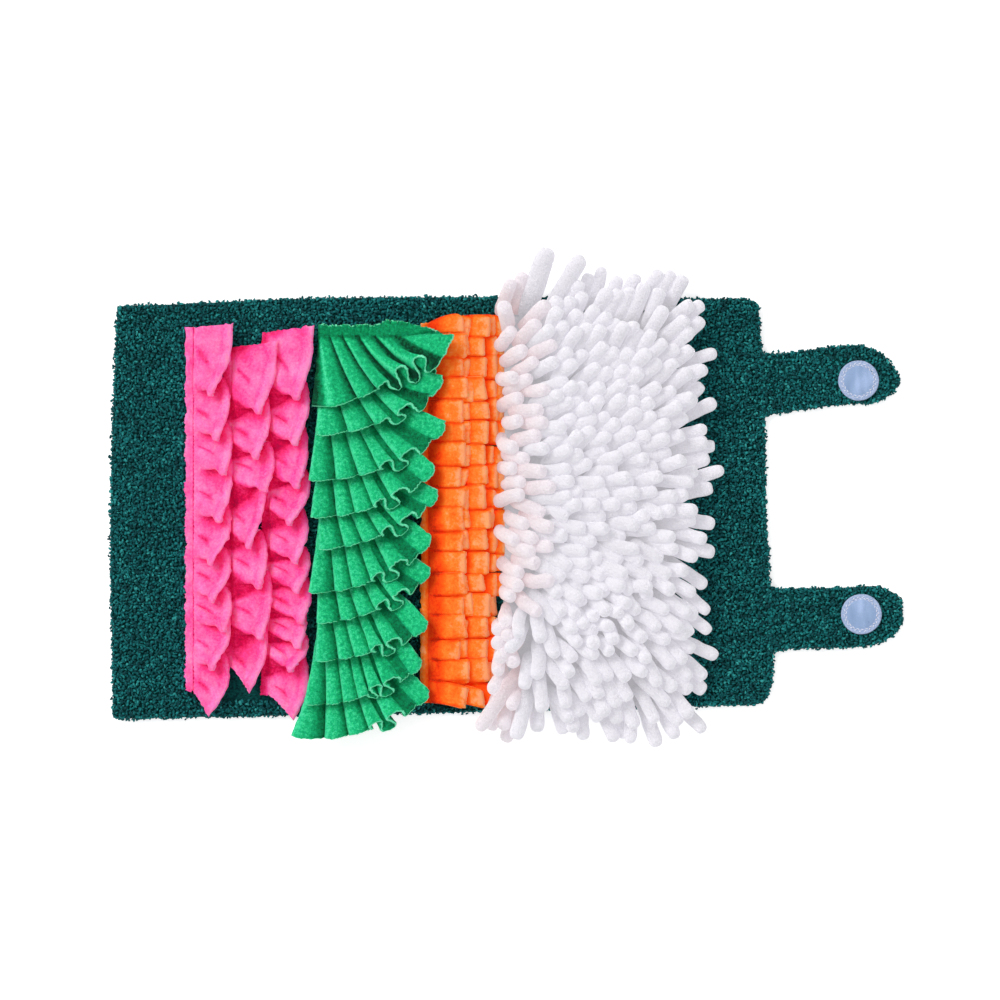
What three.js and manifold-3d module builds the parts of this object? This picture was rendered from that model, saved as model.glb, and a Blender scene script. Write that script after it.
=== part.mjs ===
// A snuffle mat made to look like a roll of sushi, laid out flat: a curly pile mat with two closing
// straps, and on it gathered fleece strips, fringed fleece strips and a field of soft chenille fingers.
//
// Everything is in millimetres. While it is being built the middle of the mat is at x 0, y 0 and the
// surface it lies on is at z 0. +X runs along the mat towards the straps, +Y across it. The whole group
// is then moved so that the origin is at the bottom centre of its box.

import * as THREE from "three";
import { mergeVertices } from "three/addons/utils/BufferGeometryUtils.js";
import Module from "manifold-3d";

// ---------------------------------------------------------------- driving dimensions

const GAP = 0.3; // between pieces that lie on each other
const FLEECE = 1.6; // thickness of the pleated and fluted fleece
const FRINGE_FLEECE = 1.6; // thickness of the fringed fleece
const CORNER_STEPS = 3;

const MAT = { thick: 7, round: 2 };
const MAT_OUTLINE = [
  // the corners of the mat, and how far each is rounded off
  { x: -213.2, y: -137.3, round: 4 },
  { x: -7, y: -133.8, round: 30 },
  { x: 209, y: -128.5, round: 14 },
  { x: 215.8, y: -90, round: 20 },
  { x: 211, y: 60, round: 20 },
  { x: 206.5, y: 135.2, round: 8 },
  { x: -20, y: 133.5, round: 30 },
  { x: -212, y: 132.5, round: 4 },
];
const RIGHT_EDGE = [MAT_OUTLINE[3], MAT_OUTLINE[4]];

const STRAP = { thick: 6, round: 1.6 };
const STRAPS = [
  // y of the middle of the root, tilt in degrees, reach, widths at root and shoulder, and how blunt
  // the tip is
  { name: "strap_upper", y: 80, tilt: 2.5, reach: 88, root: 42, shoulder: 38, tip: 0.1 },
  { name: "strap_lower", y: -73, tilt: 3.5, reach: 85, root: 43, shoulder: 39, tip: 0.55 },
];
const TAPE = { radius: 13.2, thick: 1.4, fromTip: 26.5, sides: 24 };

// Pink fleece: strips gathered along their left edge, whose pleats fall over each other downwards.
// Each row is one pleat: y of its fold at the free edge, and how far from the seam its folded
// corner and its widest point reach.
const PINK = { flange: 5.2, slant: 11, lastSlant: 16, height: 12, bend: 3, tuck: 9, lift: 1.8 };
const PINK_STRIPS = [
  {
    name: "pink_ruffle_left",
    seam: -161.2,
    top: 117.3,
    topLift: 2,
    pleats: [
      { fold: 75, corner: 13, edge: 26 },
      { fold: 46, corner: 17, edge: 26 },
      { fold: 24, corner: 22, edge: 27 },
      { fold: -7, corner: 19, edge: 27 },
      { fold: -35, corner: 13, edge: 26.5 },
      { fold: -59, corner: 14, edge: 27 },
      { fold: -78, corner: 22, edge: 27 },
      { fold: -103, corner: 14, edge: 25.5 },
      { fold: -135.5, corner: 10, edge: 26 },
    ],
  },
  {
    name: "pink_ruffle_middle",
    seam: -136.4,
    top: 104,
    topLift: 4,
    pleats: [
      { fold: 63.5, corner: 20, edge: 30 },
      { fold: 34, corner: 18, edge: 27 },
      { fold: 13, corner: 24, edge: 30 },
      { fold: -24, corner: 13, edge: 23 },
      { fold: -50, corner: 20, edge: 25 },
      { fold: -83, corner: 21, edge: 28 },
      { fold: -120, corner: 12, edge: 24.5 },
    ],
  },
  {
    name: "pink_ruffle_right",
    seam: -111.8,
    top: 114,
    topLift: 4,
    pleats: [
      { fold: 72.5, corner: 20, edge: 29 },
      { fold: 43, corner: 19, edge: 27.5 },
      { fold: 15, corner: 20, edge: 27 },
      { fold: -9, corner: 15, edge: 28.5 },
      { fold: -34, corner: 19, edge: 27.5 },
      { fold: -53, corner: 20, edge: 28.5 },
      { fold: -73, corner: 23, edge: 29 },
      { fold: -89, corner: 21, edge: 25 },
      { fold: -104, corner: 16, edge: 27 },
      { fold: -138, corner: 16, edge: 28 },
    ],
  },
];

// Green fleece: rows gathered along their top edge, that fall downwards in flutes and fan out at
// their right end. turn is how far the last flute is turned from straight down, in degrees, and a
// low sweep spreads that turn over the whole row. bends are the points along the fall where a row
// is bent.
const GREEN = { first: 113.5, pitch: 23.8, flange: 7, fall: 47, lift: 16, gather: 0.4 };
const FLUTES = { count: 5, steps: 4, depthLeft: 3, depthRight: 4.4 }; // depths are those at the free edge
const GREEN_ROWS = [
  { left: -79.5, right: -32, lean: 4, turn: 85, sweep: 0.85, tipFall: 40, tipLift: 22, bends: [0.35, 1] },
  { left: -79.0, right: -32, lean: 3, turn: 86, sweep: 1.2, tipFall: 37, tipLift: 18, bends: [0.35, 1] },
  { left: -79.5, right: -31, lean: 2, turn: 76, sweep: 1.3, tipFall: 39, tipLift: 19, bends: [0.35, 1] },
  { left: -79.0, right: -31, lean: 0, turn: 62, sweep: 1.5, tipFall: 33, tipLift: 21, bends: [1] },
  { left: -79.5, right: -31, lean: 0, turn: 79, sweep: 1.5, tipFall: 32, tipLift: 17, bends: [0.35, 1] },
  { left: -79.0, right: -31, lean: 0, turn: 60, sweep: 1.6, tipFall: 29, tipLift: 16, bends: [1] },
  { left: -79.5, right: -33, lean: 1, turn: 71, sweep: 1.5, tipFall: 27, tipLift: 12.5, bends: [1] },
  { left: -79.0, right: -34, lean: 0, turn: 42, sweep: 1.5, tipFall: 36, tipLift: 17, bends: [1] },
  { left: -80.0, right: -35, lean: -4, turn: 33, sweep: 1.4, tipFall: 34, tipLift: 16, bends: [1] },
  { left: -80.5, right: -34, lean: -12, turn: 56, sweep: 1.4, tipFall: 32, tipLift: 13, bends: [1] },
];

// Orange fleece: strips cut into tabs that point right, sewn down one over the other.
const ORANGE = { top: 125.5, bottom: -127, tabs: 18, slit: 0.8, uneven: 1.3, climb: 0.7, lastTurn: 4 };
const ORANGE_COMBS = [
  // x of the seam, width of the sewn header and reach of the tabs, the layer the header lies in, how
  // far the tabs rise and their ends drop again, the stack whose cuts it shares, and the point along
  // a tab where it is bent
  { name: "under_right", seam: 16.9, header: 3, reach: 23.5, layer: 0, rise: 2.8, droop: 1.2, stack: 1 },
  { name: "right", seam: 15.2, header: 3, reach: 22, layer: 1, rise: 2.8, droop: 1.2, stack: 1, bend: 0.4 },
  { name: "middle", seam: 6, header: 3, reach: 24, layer: 0, rise: 7.4, droop: 0.5, stack: 2, bend: 0.3 },
  { name: "under_left", seam: -6.4, header: 4, reach: 24.5, layer: 0, rise: 9.8, droop: 0.6, stack: 3 },
  { name: "left", seam: -8.2, header: 5, reach: 23.5, layer: 1, rise: 9.9, droop: 0.6, stack: 3, bend: 0.3 },
];

// White chenille: a backing with a thick field of fingers, which fan out over its edges.
const WHITE = { left: 42, right: 163, bottom: -132, top: 137 };
const FIELD = { tall: 33, edge: 10, shoulder: 24, steepSide: 14, lump: 3, columns: 7, rows: 15 };
const FINGER = { radius: 5, length: 38, sides: 5, inset: 20 };
const FINGER_SIDES = [
  // the edges that fingers stand over: how many, their heading and the spread of it, their rise and
  // how much longer the first of them is
  { edge: "top", count: 10, heading: 68, spread: 30, rise: 22, longer: 0.36 },
  { edge: "right", count: 18, heading: 0, spread: 62, rise: 14, longer: 0 },
  { edge: "bottom", count: 11, heading: -90, spread: 56, rise: 14, longer: 0 },
];

const TOP = MAT.thick + GAP; // height at which the pieces on the mat start

// ---------------------------------------------------------------- colours

const finish = (color, roughness) => new THREE.MeshStandardMaterial({ color, roughness, metalness: 0 });
const CURLY_PILE = finish("#0b504c", 1);
const PINK_FLEECE = finish("#ff5fa9", 0.95);
const GREEN_FLEECE = finish("#12b471", 0.95);
const ORANGE_FLEECE = finish("#ff7a28", 0.9);
const WHITE_CHENILLE = finish("#f0eef3", 1);
const PALE_TAPE = finish("#a3bbe0", 0.8);

// ---------------------------------------------------------------- small helpers

const wasm = await Module();
wasm.setup();

const lerp = THREE.MathUtils.lerp;
const radians = THREE.MathUtils.degToRad;
const smooth = (x, from, to) => THREE.MathUtils.smoothstep(x, from, to);
// A repeatable unevenness from -1 to 1.
const uneven = (i, salt) => Math.sin(i * 2.39996 + salt * 4.1);
const steps = (count) => Array.from({ length: count + 1 }, (_, i) => i / count);

// A closed solid as a manifold-3d one, and back.
function toSolid(geometry) {
  const bare = geometry.index ? geometry.clone() : geometry;
  const plain = new THREE.BufferGeometry().setAttribute("position", bare.getAttribute("position"));
  if (bare.index) plain.setIndex(bare.index);
  const merged = mergeVertices(plain, 1e-3);
  return new wasm.Manifold(
    new wasm.Mesh({
      numProp: 3,
      vertProperties: new Float32Array(merged.attributes.position.array),
      triVerts: new Uint32Array(merged.index.array),
    }),
  );
}

function fromSolid(solid) {
  const mesh = solid.getMesh();
  return new THREE.BufferGeometry()
    .setAttribute("position", new THREE.BufferAttribute(new Float32Array(mesh.vertProperties), 3))
    .setIndex(new THREE.BufferAttribute(new Uint32Array(mesh.triVerts), 1));
}

// A sheet of even thickness on a surface at(u, v). us and vs are where it is cut into facets, and
// keep(i, j) says which cells are cloth, so that slits can be left open. Nothing reaches below floor.
function sheetSolid({ at, us, vs, thick, floor, keep = () => true }) {
  const middle = us.map((u) => vs.map((v) => at(u, v)));
  const cloth = (i, j) => i >= 0 && j >= 0 && i < us.length - 1 && j < vs.length - 1 && keep(i, j);
  const facing = (i, j) => {
    const oneWay = middle[i + 1][j + 1].clone().sub(middle[i][j]);
    const otherWay = middle[i][j + 1].clone().sub(middle[i + 1][j]);
    return oneWay.cross(otherWay).normalize();
  };
  // From the middle of the sheet to its surface at a corner, mitred between the cells around it.
  const toSurface = (i, j) => {
    const cells = [
      [i - 1, j - 1],
      [i, j - 1],
      [i - 1, j],
      [i, j],
    ];
    const normals = cells.filter(([p, q]) => cloth(p, q)).map(([p, q]) => facing(p, q));
    const mean = normals.reduce((sum, normal) => sum.add(normal), new THREE.Vector3()).normalize();
    const sharpest = Math.min(...normals.map((normal) => normal.dot(mean)));
    return mean.multiplyScalar(thick / 2 / Math.max(sharpest, 0.5));
  };
  const positions = [];
  middle.forEach((column, i) =>
    column.forEach((point, j) => {
      const offset = toSurface(i, j);
      for (const surface of [point.clone().add(offset), point.clone().sub(offset)]) {
        positions.push(surface.x, surface.y, Math.max(surface.z, floor));
      }
    }),
  );
  const corner = (i, j, side) => (i * vs.length + j) * 2 + side;
  const faces = [];
  const quad = (a, b, c, d) => faces.push(a, b, c, a, c, d);
  for (let i = 0; i < us.length - 1; i++) {
    for (let j = 0; j < vs.length - 1; j++) {
      if (!cloth(i, j)) continue;
      const [a, b, c, d] = [
        [i, j],
        [i + 1, j],
        [i + 1, j + 1],
        [i, j + 1],
      ];
      quad(...[a, b, c, d].map(([p, q]) => corner(p, q, 0)));
      quad(...[d, c, b, a].map(([p, q]) => corner(p, q, 1)));
      const wall = (p, q) => quad(corner(...q, 0), corner(...p, 0), corner(...p, 1), corner(...q, 1));
      if (!cloth(i, j - 1)) wall(a, b);
      if (!cloth(i + 1, j)) wall(b, c);
      if (!cloth(i, j + 1)) wall(c, d);
      if (!cloth(i - 1, j)) wall(d, a);
    }
  }
  return new THREE.BufferGeometry()
    .setAttribute("position", new THREE.BufferAttribute(new Float32Array(positions), 3))
    .setIndex(faces);
}

// A flat panel with rounded upper and lower edges, from its outline.
function panel(outline, thick, round) {
  return new THREE.ExtrudeGeometry(outline, {
    depth: thick - 2 * round,
    bevelThickness: round,
    bevelSize: round,
    bevelOffset: -round,
    bevelSegments: 1,
    curveSegments: CORNER_STEPS,
  }).translate(0, 0, round);
}

// An outline through corners that are each rounded off by their own amount.
function roundedOutline(corners) {
  const outline = new THREE.Shape();
  corners.forEach((corner, i) => {
    const here = new THREE.Vector2(corner.x, corner.y);
    const [before, after] = [corners.at(i - 1), corners[(i + 1) % corners.length]];
    const towards = (other) =>
      new THREE.Vector2(other.x, other.y).sub(here).setLength(corner.round).add(here);
    const [from, to] = [towards(before), towards(after)];
    if (i === 0) outline.moveTo(from.x, from.y);
    else outline.lineTo(from.x, from.y);
    outline.quadraticCurveTo(here.x, here.y, to.x, to.y);
  });
  outline.closePath();
  return outline;
}

const toy = new THREE.Group();

function addPiece(name, geometry, material) {
  const piece = new THREE.Mesh(geometry, material);
  piece.name = name;
  toy.add(piece);
  return piece;
}

// ---------------------------------------------------------------- mat, straps and tape rounds

function addMat() {
  addPiece("mat", panel(roundedOutline(MAT_OUTLINE), MAT.thick, MAT.round), CURLY_PILE);
}

// x of the mat's right edge at a height y across it.
function rightEdge(y) {
  const [low, high] = RIGHT_EDGE;
  return lerp(low.x, high.x, (y - low.y) / (high.y - low.y));
}

// A strap's root lies along the mat's right edge, and its end is drawn in to a rounded point.
function addStrap({ name, y, tilt, reach, root, shoulder, tip }) {
  const turn = radians(tilt);
  const place = (along, aside) => [
    rightEdge(y) + along * Math.cos(turn) - aside * Math.sin(turn),
    y + along * Math.sin(turn) + aside * Math.cos(turn),
  ];
  const rootAt = (aside) => [rightEdge(y + aside) + GAP, y + aside];
  const neck = 14; // from the root to where the strap has its own width
  const drawnIn = 26; // length of the end that is drawn in
  const side = shoulder / 2;
  const bend = reach - drawnIn * 0.3;
  const blunt = side * tip;
  const outline = new THREE.Shape();
  outline.moveTo(...rootAt(-root / 2));
  outline.quadraticCurveTo(...place(neck * 0.4, -side), ...place(neck, -side));
  outline.lineTo(...place(reach - drawnIn, -side));
  outline.quadraticCurveTo(...place(bend, -side), ...place(reach, -blunt));
  outline.quadraticCurveTo(...place(reach + 1, 0), ...place(reach, blunt));
  outline.quadraticCurveTo(...place(bend, side), ...place(reach - drawnIn, side));
  outline.lineTo(...place(neck, side));
  outline.quadraticCurveTo(...place(neck * 0.4, side), ...rootAt(root / 2));
  outline.closePath();
  addPiece(name, panel(outline, STRAP.thick, STRAP.round), CURLY_PILE);

  const tape = new THREE.CylinderGeometry(TAPE.radius, TAPE.radius, TAPE.thick, TAPE.sides);
  const tapePiece = addPiece(name.replace("strap", "tape_round"), tape, PALE_TAPE);
  const [tapeX, tapeY] = place(reach - TAPE.fromTip, 0);
  tapePiece.rotation.x = Math.PI / 2;
  tapePiece.position.set(tapeX, tapeY, STRAP.thick + GAP + TAPE.thick / 2);
}

// ---------------------------------------------------------------- pink pleated strips

// The control points of one pleat, which is flat in the seam and folded at the free edge. flat is
// measured down the seam from the fold before (0) to this fold (1). bends and tucks move a point
// from the fold before by the size of a bend and of the hidden tuck. rise is a share of the fold's
// height, drop counts bends below it, and wide is how much of the free edge's reach it has.
const FOLD_POINTS = [
  { flat: 0.16, from: "before", bends: 1, tucks: 0, rise: 1, drop: -1, wide: 0 }, // nose of the fold before
  { flat: 0.3, from: "before", bends: 0, tucks: 0, rise: 1, drop: -2, wide: 0 }, // its underside
  { flat: 0.46, from: "before", bends: -1, tucks: 1, rise: 0, drop: 1.4, wide: 0.3 }, // the hidden bend
  { flat: 0.6, from: "before", bends: 0, tucks: 1, rise: 0, drop: 0, wide: 0.7 }, // its floor
  { flat: 0.8, from: "between", bends: 0, tucks: 0, rise: 0.46, drop: 0, wide: 1 }, // middle of the panel
  { flat: 1, from: "fold", bends: 0, tucks: 0, rise: 1, drop: 0, wide: 0 }, // top of this fold
];
const FIRST_POINT = 3; // a strip starts with the panel of its first pleat

// One control point at v, from 0 at the seam to 1 at the free edge.
function pleatPoint(strip, pleatIndex, pointIndex, v) {
  const { pleats, top, seam, topLift } = strip;
  const pleat = pleats[pleatIndex];
  const before = pleats[pleatIndex - 1] ?? { fold: top, corner: pleat.edge, edge: pleat.edge, start: true };
  const last = pleatIndex === pleats.length - 1;
  const point = FOLD_POINTS[pointIndex];
  const seamOf = (p) => p.fold + (p.start ? 0 : p === pleats.at(-1) ? PINK.lastSlant : PINK.slant);
  const flatStart = before.start ? FOLD_POINTS[FIRST_POINT].flat : 0;
  const flatShare = (point.flat - flatStart) / (1 - flatStart);
  const flatY = lerp(seamOf(before), seamOf(pleat), flatShare);
  const tuck = before.start ? 0 : Math.min(PINK.tuck, 0.4 * (before.fold - pleat.fold));
  const bend = before.start ? 0 : PINK.bend;
  const foldedY = {
    before: before.fold + point.tucks * tuck,
    between: lerp(before.fold + tuck, pleat.fold, 0.55),
    fold: pleat.fold,
  }[point.from];
  const height = PINK.height * (1 + 0.1 * uneven(pleatIndex, seam));
  const opened = v ** 1.2; // the folds fall over further out than where they rise
  const raised = v ** 0.5;
  const rise = before.start && point.from === "before" ? 0.3 : point.rise;
  const foldedZ = height * rise + point.drop * bend;
  const corner = point.from === "before" ? before.corner : pleat.corner;
  const reach = lerp(corner, pleat.edge, point.wide);
  const firstSlope = before.start ? topLift * (1 - flatShare) : 0;
  const settle = last ? 1 - 0.45 * point.flat : 1;
  return new THREE.Vector3(
    seam + Math.max(v, 0) * reach,
    lerp(flatY, foldedY, opened) - raised * point.bends * bend + firstSlope * v,
    TOP + FLEECE / 2 + raised * (foldedZ * settle + PINK.lift),
  );
}

// A uniform cubic B-spline through a row of control points, at t counted in points.
function bSpline(points, t) {
  const last = points.length - 1;
  const clamped = THREE.MathUtils.clamp(t, 0, last);
  const i = Math.min(Math.floor(clamped), last - 1);
  const f = clamped - i;
  const end = (a, b) => points[a].clone().multiplyScalar(2).sub(points[b]);
  const p0 = i > 0 ? points[i - 1] : end(0, 1);
  const p3 = i + 2 <= last ? points[i + 2] : end(last, last - 1);
  const weights = [(1 - f) ** 3, 3 * f ** 3 - 6 * f ** 2 + 4, -3 * f ** 3 + 3 * f ** 2 + 3 * f + 1, f ** 3];
  const sum = new THREE.Vector3();
  [p0, points[i], points[i + 1], p3].forEach((p, k) => sum.addScaledVector(p, weights[k] / 6));
  return sum;
}

function addPinkStrip(strip) {
  const perPleat = FOLD_POINTS.length;
  const controls = (v) =>
    strip.pleats
      .flatMap((_, pleat) => FOLD_POINTS.map((_, point) => pleatPoint(strip, pleat, point, v)))
      .slice(FIRST_POINT);
  const rows = new Map();
  const row = (v) => {
    if (!rows.has(v)) rows.set(v, controls(Math.max(v, 0)));
    return rows.get(v);
  };
  const at = (t, v) => {
    const point = bSpline(row(v), t);
    if (v < 0) point.x += v * PINK.flange;
    return point;
  };
  const last = strip.pleats.length * perPleat - FIRST_POINT - 1;
  const us = Array.from({ length: last + 1 }, (_, i) => i);
  const geometry = sheetSolid({ at, us, vs: [-1, 0, 0.5, 1], thick: FLEECE, floor: TOP });
  addPiece(strip.name, geometry, PINK_FLEECE);
}

// ---------------------------------------------------------------- green fluted rows

// A point of a row: u runs along its seam, v from the seam (0) to the free edge (1), and a v below
// 0 is on the flange above the seam. Where the row fans out its flutes stand up, so that their
// crests draw the free edge in.
function flutedPoint(row, index, u, v) {
  const along = THREE.MathUtils.clamp(u, 0, 1);
  const open = Math.max(v, 0);
  const turned = lerp(-row.lean, row.turn, along ** row.sweep) * (0.8 + 0.2 * open);
  const heading = radians(turned - 90);
  const fall = lerp(GREEN.fall, row.tipFall, along ** 1.5);
  const steep = lerp(1, 1.15, along ** 4); // how much of the rise comes early, next to the seam
  const risen = lerp(GREEN.lift, row.tipLift, along) * (steep * open + (1 - steep) * open ** 2);
  const opening = open ** lerp(0.8, 1.3, along);
  const depth = lerp(FLUTES.depthLeft, FLUTES.depthRight, along) * opening + GREEN.gather;
  const phase = 2 * Math.PI * (FLUTES.count * u + 0.2 * Math.sin(5 * u + 1) + 0.05 * uneven(index, 1));
  const wave = depth * Math.cos(phase);
  const out = open * (fall - wave * lerp(0.15, 0.7, along));
  const seam = GREEN.first - index * GREEN.pitch;
  return new THREE.Vector3(
    lerp(row.left, row.right, u) + out * Math.cos(heading),
    seam - GREEN.flange * Math.min(v, 0) + out * Math.sin(heading),
    TOP + FLEECE / 2 + GREEN.gather + risen + wave,
  );
}

function addGreenRows() {
  GREEN_ROWS.forEach((row, index) => {
    const us = steps(FLUTES.count * FLUTES.steps);
    const at = (u, v) => flutedPoint(row, index, u, v);
    const geometry = sheetSolid({ at, us, vs: [-1, 0, ...row.bends], thick: FLEECE, floor: TOP });
    addPiece(`green_ruffle_${String(index + 1).padStart(2, "0")}`, geometry, GREEN_FLEECE);
  });
}

// ---------------------------------------------------------------- orange fringed strips

function addOrangeComb(comb) {
  const pitch = (ORANGE.top - ORANGE.bottom) / ORANGE.tabs;
  const cut = (tab) => {
    const between = tab > 0 && tab < ORANGE.tabs;
    return ORANGE.top - tab * pitch + (between ? ORANGE.uneven * uneven(tab, comb.stack + 3) : 0);
  };
  const tabEdges = (tab) => [cut(tab), cut(tab + 1) + ORANGE.slit];
  const tabOf = (y) => steps(ORANGE.tabs).findLastIndex((_, tab) => y <= cut(tab) + 0.001);
  const at = (y, v) => {
    const tab = tabOf(y);
    const open = Math.max(v, 0);
    const reach = comb.reach * (1 + 0.03 * uneven(tab, comb.stack));
    const rise = comb.rise * (1 + 0.03 * uneven(tab, comb.stack + 7));
    const climb = rise * (1 - (1 - Math.min(open / ORANGE.climb, 1)) ** 2);
    const drop = comb.droop * smooth(open, 0.65, 1.1);
    const turned = tab === ORANGE.tabs - 1 ? ORANGE.lastTurn * open ** 2 : 0;
    const layer = comb.layer * (FRINGE_FLEECE + GAP);
    return new THREE.Vector3(
      comb.seam + open * reach + Math.min(v, 0) * comb.header,
      y - turned,
      TOP + FRINGE_FLEECE / 2 + layer + climb - drop,
    );
  };
  const geometry = sheetSolid({
    at,
    us: Array.from({ length: ORANGE.tabs }, (_, tab) => tabEdges(tab)).flat(),
    vs: comb.bend ? [-1, 0, comb.bend, 1] : [-1, 0, 1],
    thick: FRINGE_FLEECE,
    floor: TOP,
    keep: (i, j) => i % 2 === 0 || j === 0,
  });
  addPiece(`orange_fringe_${comb.name}`, geometry, ORANGE_FLEECE);
}

// ---------------------------------------------------------------- white chenille field

// The thick middle of the field: a block whose top is lumpy with finger ends and rounded off
// towards its edges, except on the left, where it ends in a steep side.
function fieldBody() {
  const { left, right, bottom, top } = WHITE;
  const { tall, edge, shoulder, steepSide, lump, columns, rows } = FIELD;
  const [us, vs] = [steps(columns), steps(rows)];
  const positions = [];
  us.forEach((u, i) =>
    vs.forEach((v, j) => {
      const [x, y] = [lerp(left, right, u), lerp(bottom, top, v)];
      const inset = Math.min(right - x, y - bottom, top - y, x - left + steepSide);
      const round = Math.sqrt(1 - (1 - Math.min(inset / shoulder, 1)) ** 2);
      const height = lerp(edge, tall, round) + lump * uneven(i * 17 + j * 5, 1);
      positions.push(x, y, TOP + height, x, y, TOP);
    }),
  );
  const index = (i, j, level) => (i * vs.length + j) * 2 + level;
  const faces = [];
  const quad = (a, b, c, d) => faces.push(a, b, c, a, c, d);
  const [endI, endJ] = [columns, rows];
  for (let i = 0; i < endI; i++) {
    for (let j = 0; j < endJ; j++) {
      quad(index(i, j, 0), index(i + 1, j, 0), index(i + 1, j + 1, 0), index(i, j + 1, 0));
      quad(index(i, j + 1, 1), index(i + 1, j + 1, 1), index(i + 1, j, 1), index(i, j, 1));
    }
    quad(index(i, 0, 1), index(i + 1, 0, 1), index(i + 1, 0, 0), index(i, 0, 0));
    quad(index(i + 1, endJ, 1), index(i, endJ, 1), index(i, endJ, 0), index(i + 1, endJ, 0));
  }
  for (let j = 0; j < endJ; j++) {
    quad(index(0, j + 1, 1), index(0, j, 1), index(0, j, 0), index(0, j + 1, 0));
    quad(index(endI, j, 1), index(endI, j + 1, 1), index(endI, j + 1, 0), index(endI, j, 0));
  }
  return new THREE.BufferGeometry()
    .setAttribute("position", new THREE.BufferAttribute(new Float32Array(positions), 3))
    .setIndex(faces);
}

// One finger along +X from the origin, with a pointed end.
function fingerShape() {
  const { radius, length, sides } = FINGER;
  const profile = [
    [0, 0],
    [radius, 0],
    [radius, length - radius * 0.8],
    [0, length],
  ].map(([r, along]) => new THREE.Vector2(r, along));
  return new THREE.LatheGeometry(profile, sides).rotateZ(-Math.PI / 2);
}

function addWhiteField() {
  const { left, right, bottom, top } = WHITE;
  let field = toSolid(fieldBody());
  for (const { edge, count, heading, spread, rise, longer } of FINGER_SIDES) {
    for (let i = 0; i < count; i++) {
      const share = (i + 0.5) / count;
      const [x, y] = {
        top: [lerp(left + 6, right - 6, share), top - FINGER.inset],
        right: [right - FINGER.inset, lerp(top - 8, bottom + 8, share)],
        bottom: [lerp(right - 6, left + 2, share), bottom + FINGER.inset],
      }[edge];
      const finger = fingerShape()
        .scale(1 + 0.12 * uneven(i, 5) + longer * (1 - share) ** 3, 1, 1)
        .rotateY(-radians(rise + 8 * uneven(i, 3)))
        .rotateZ(radians(heading + spread * (0.5 - share) + 9 * uneven(i, 2)))
        .translate(x, y, TOP + 8 + 5 * (1 + uneven(i, 4)));
      field = field.add(toSolid(finger));
    }
  }
  addPiece("white_chenille", fromSolid(field), WHITE_CHENILLE);
}

// ---------------------------------------------------------------- the toy

addMat();
STRAPS.forEach(addStrap);
PINK_STRIPS.forEach(addPinkStrip);
addGreenRows();
ORANGE_COMBS.forEach(addOrangeComb);
addWhiteField();

const box = new THREE.Box3().setFromObject(toy);
toy.position.set(-(box.min.x + box.max.x) / 2, -(box.min.y + box.max.y) / 2, -box.min.z);

export default toy;
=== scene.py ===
"""Dresses the snuffle mat: curly pile, fleece pleats, flutes and fringes, chenille and tape rounds.

Pieces are laid out in millimetres round the middle of the mat, as in the part's own source, and
add_piece moves them into the frame, in metres.
"""

import math

import bmesh
import bpy
import numpy as np
from mathutils import Matrix, Vector


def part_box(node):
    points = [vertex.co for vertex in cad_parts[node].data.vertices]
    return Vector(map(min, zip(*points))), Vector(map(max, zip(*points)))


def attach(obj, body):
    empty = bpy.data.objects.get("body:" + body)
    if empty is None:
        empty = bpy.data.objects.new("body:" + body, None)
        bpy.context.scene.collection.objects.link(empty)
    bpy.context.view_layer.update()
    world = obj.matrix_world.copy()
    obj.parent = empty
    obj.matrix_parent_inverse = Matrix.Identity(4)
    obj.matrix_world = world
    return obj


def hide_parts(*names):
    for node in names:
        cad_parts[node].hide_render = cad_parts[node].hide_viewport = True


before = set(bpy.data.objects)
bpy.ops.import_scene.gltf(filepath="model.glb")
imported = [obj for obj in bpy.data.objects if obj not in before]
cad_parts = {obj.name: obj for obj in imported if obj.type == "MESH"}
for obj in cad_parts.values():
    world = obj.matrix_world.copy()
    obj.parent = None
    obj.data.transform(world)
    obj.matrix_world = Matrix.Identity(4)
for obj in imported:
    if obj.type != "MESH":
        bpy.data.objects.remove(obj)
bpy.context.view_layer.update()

MM = 0.001

# ---------------------------------------------------------------- dimensions, in millimetres

MAT_THICK = 7
TOP = MAT_THICK + 0.3  # where the pieces on the mat start
FLEECE = 1.6
FRINGE_FLEECE = 1.5

# The mat's corners, and how far each is rounded off.
MAT_OUTLINE = [
    (-213.4, -137.6, 4),
    (-7, -133.8, 30),
    (212.5, -128.3, 9),
    (217.5, -98, 16),
    (211.2, -8, 40),
    (211, 60, 20),
    (206.5, 135.6, 8),
    (40, 137.4, 60),
    (-100, 136.2, 40),
    (-165, 132.6, 20),
    (-211, 131.4, 5),
    (-216.2, 0, 60),
]
# The straps' roots lie along the line between these two points.
RIGHT_EDGE = ((215.8, -90), (211, 60))
STRAP_NECK = 14
STRAP_END = 26
STRAPS = {
    "strap_upper": dict(y=80, tilt=2.5, reach=88, root=42, shoulder=38, tip=0.1, bow=4.2),
    "strap_lower": dict(y=-73, tilt=3.5, reach=85, root=43, shoulder=39, tip=0.4, bow=-1.7),
}
STRAP_THICK = 6
MAT_GROUND, STRAP_GROUND = 4.6, 4.0  # how thick the cloth is that the pile stands in
CURL_PITCH = 1.45
# Where other pieces cover the pile altogether: low x, high x, low y, high y.
COVERED = [
    (-158, -89, -126, 98),
    (-76, -32, -118, 108),
    (-8, 36, -124, 122),
    (52, 154, -122, 124),
]

TAPE_RADIUS = 13.2
TAPE_FROM_TIP = 26.5
# Radius and height of a tape round's section, from its middle to its underside.
TAPE_PROFILE = [
    (0, 1.5), (3, 1.5), (6, 1.45), (8.4, 1.35), (9.6, 1.15), (10.6, 0.9),
    (11.4, 1.15), (12.5, 1.2), (13.1, 0.95), (13.2, 0.5), (13.0, 0),
]
RIM_FROM = 9.3  # the radius where the stitched rim starts
STITCHES, STITCH_RADIUS = 44, 10.5

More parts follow.
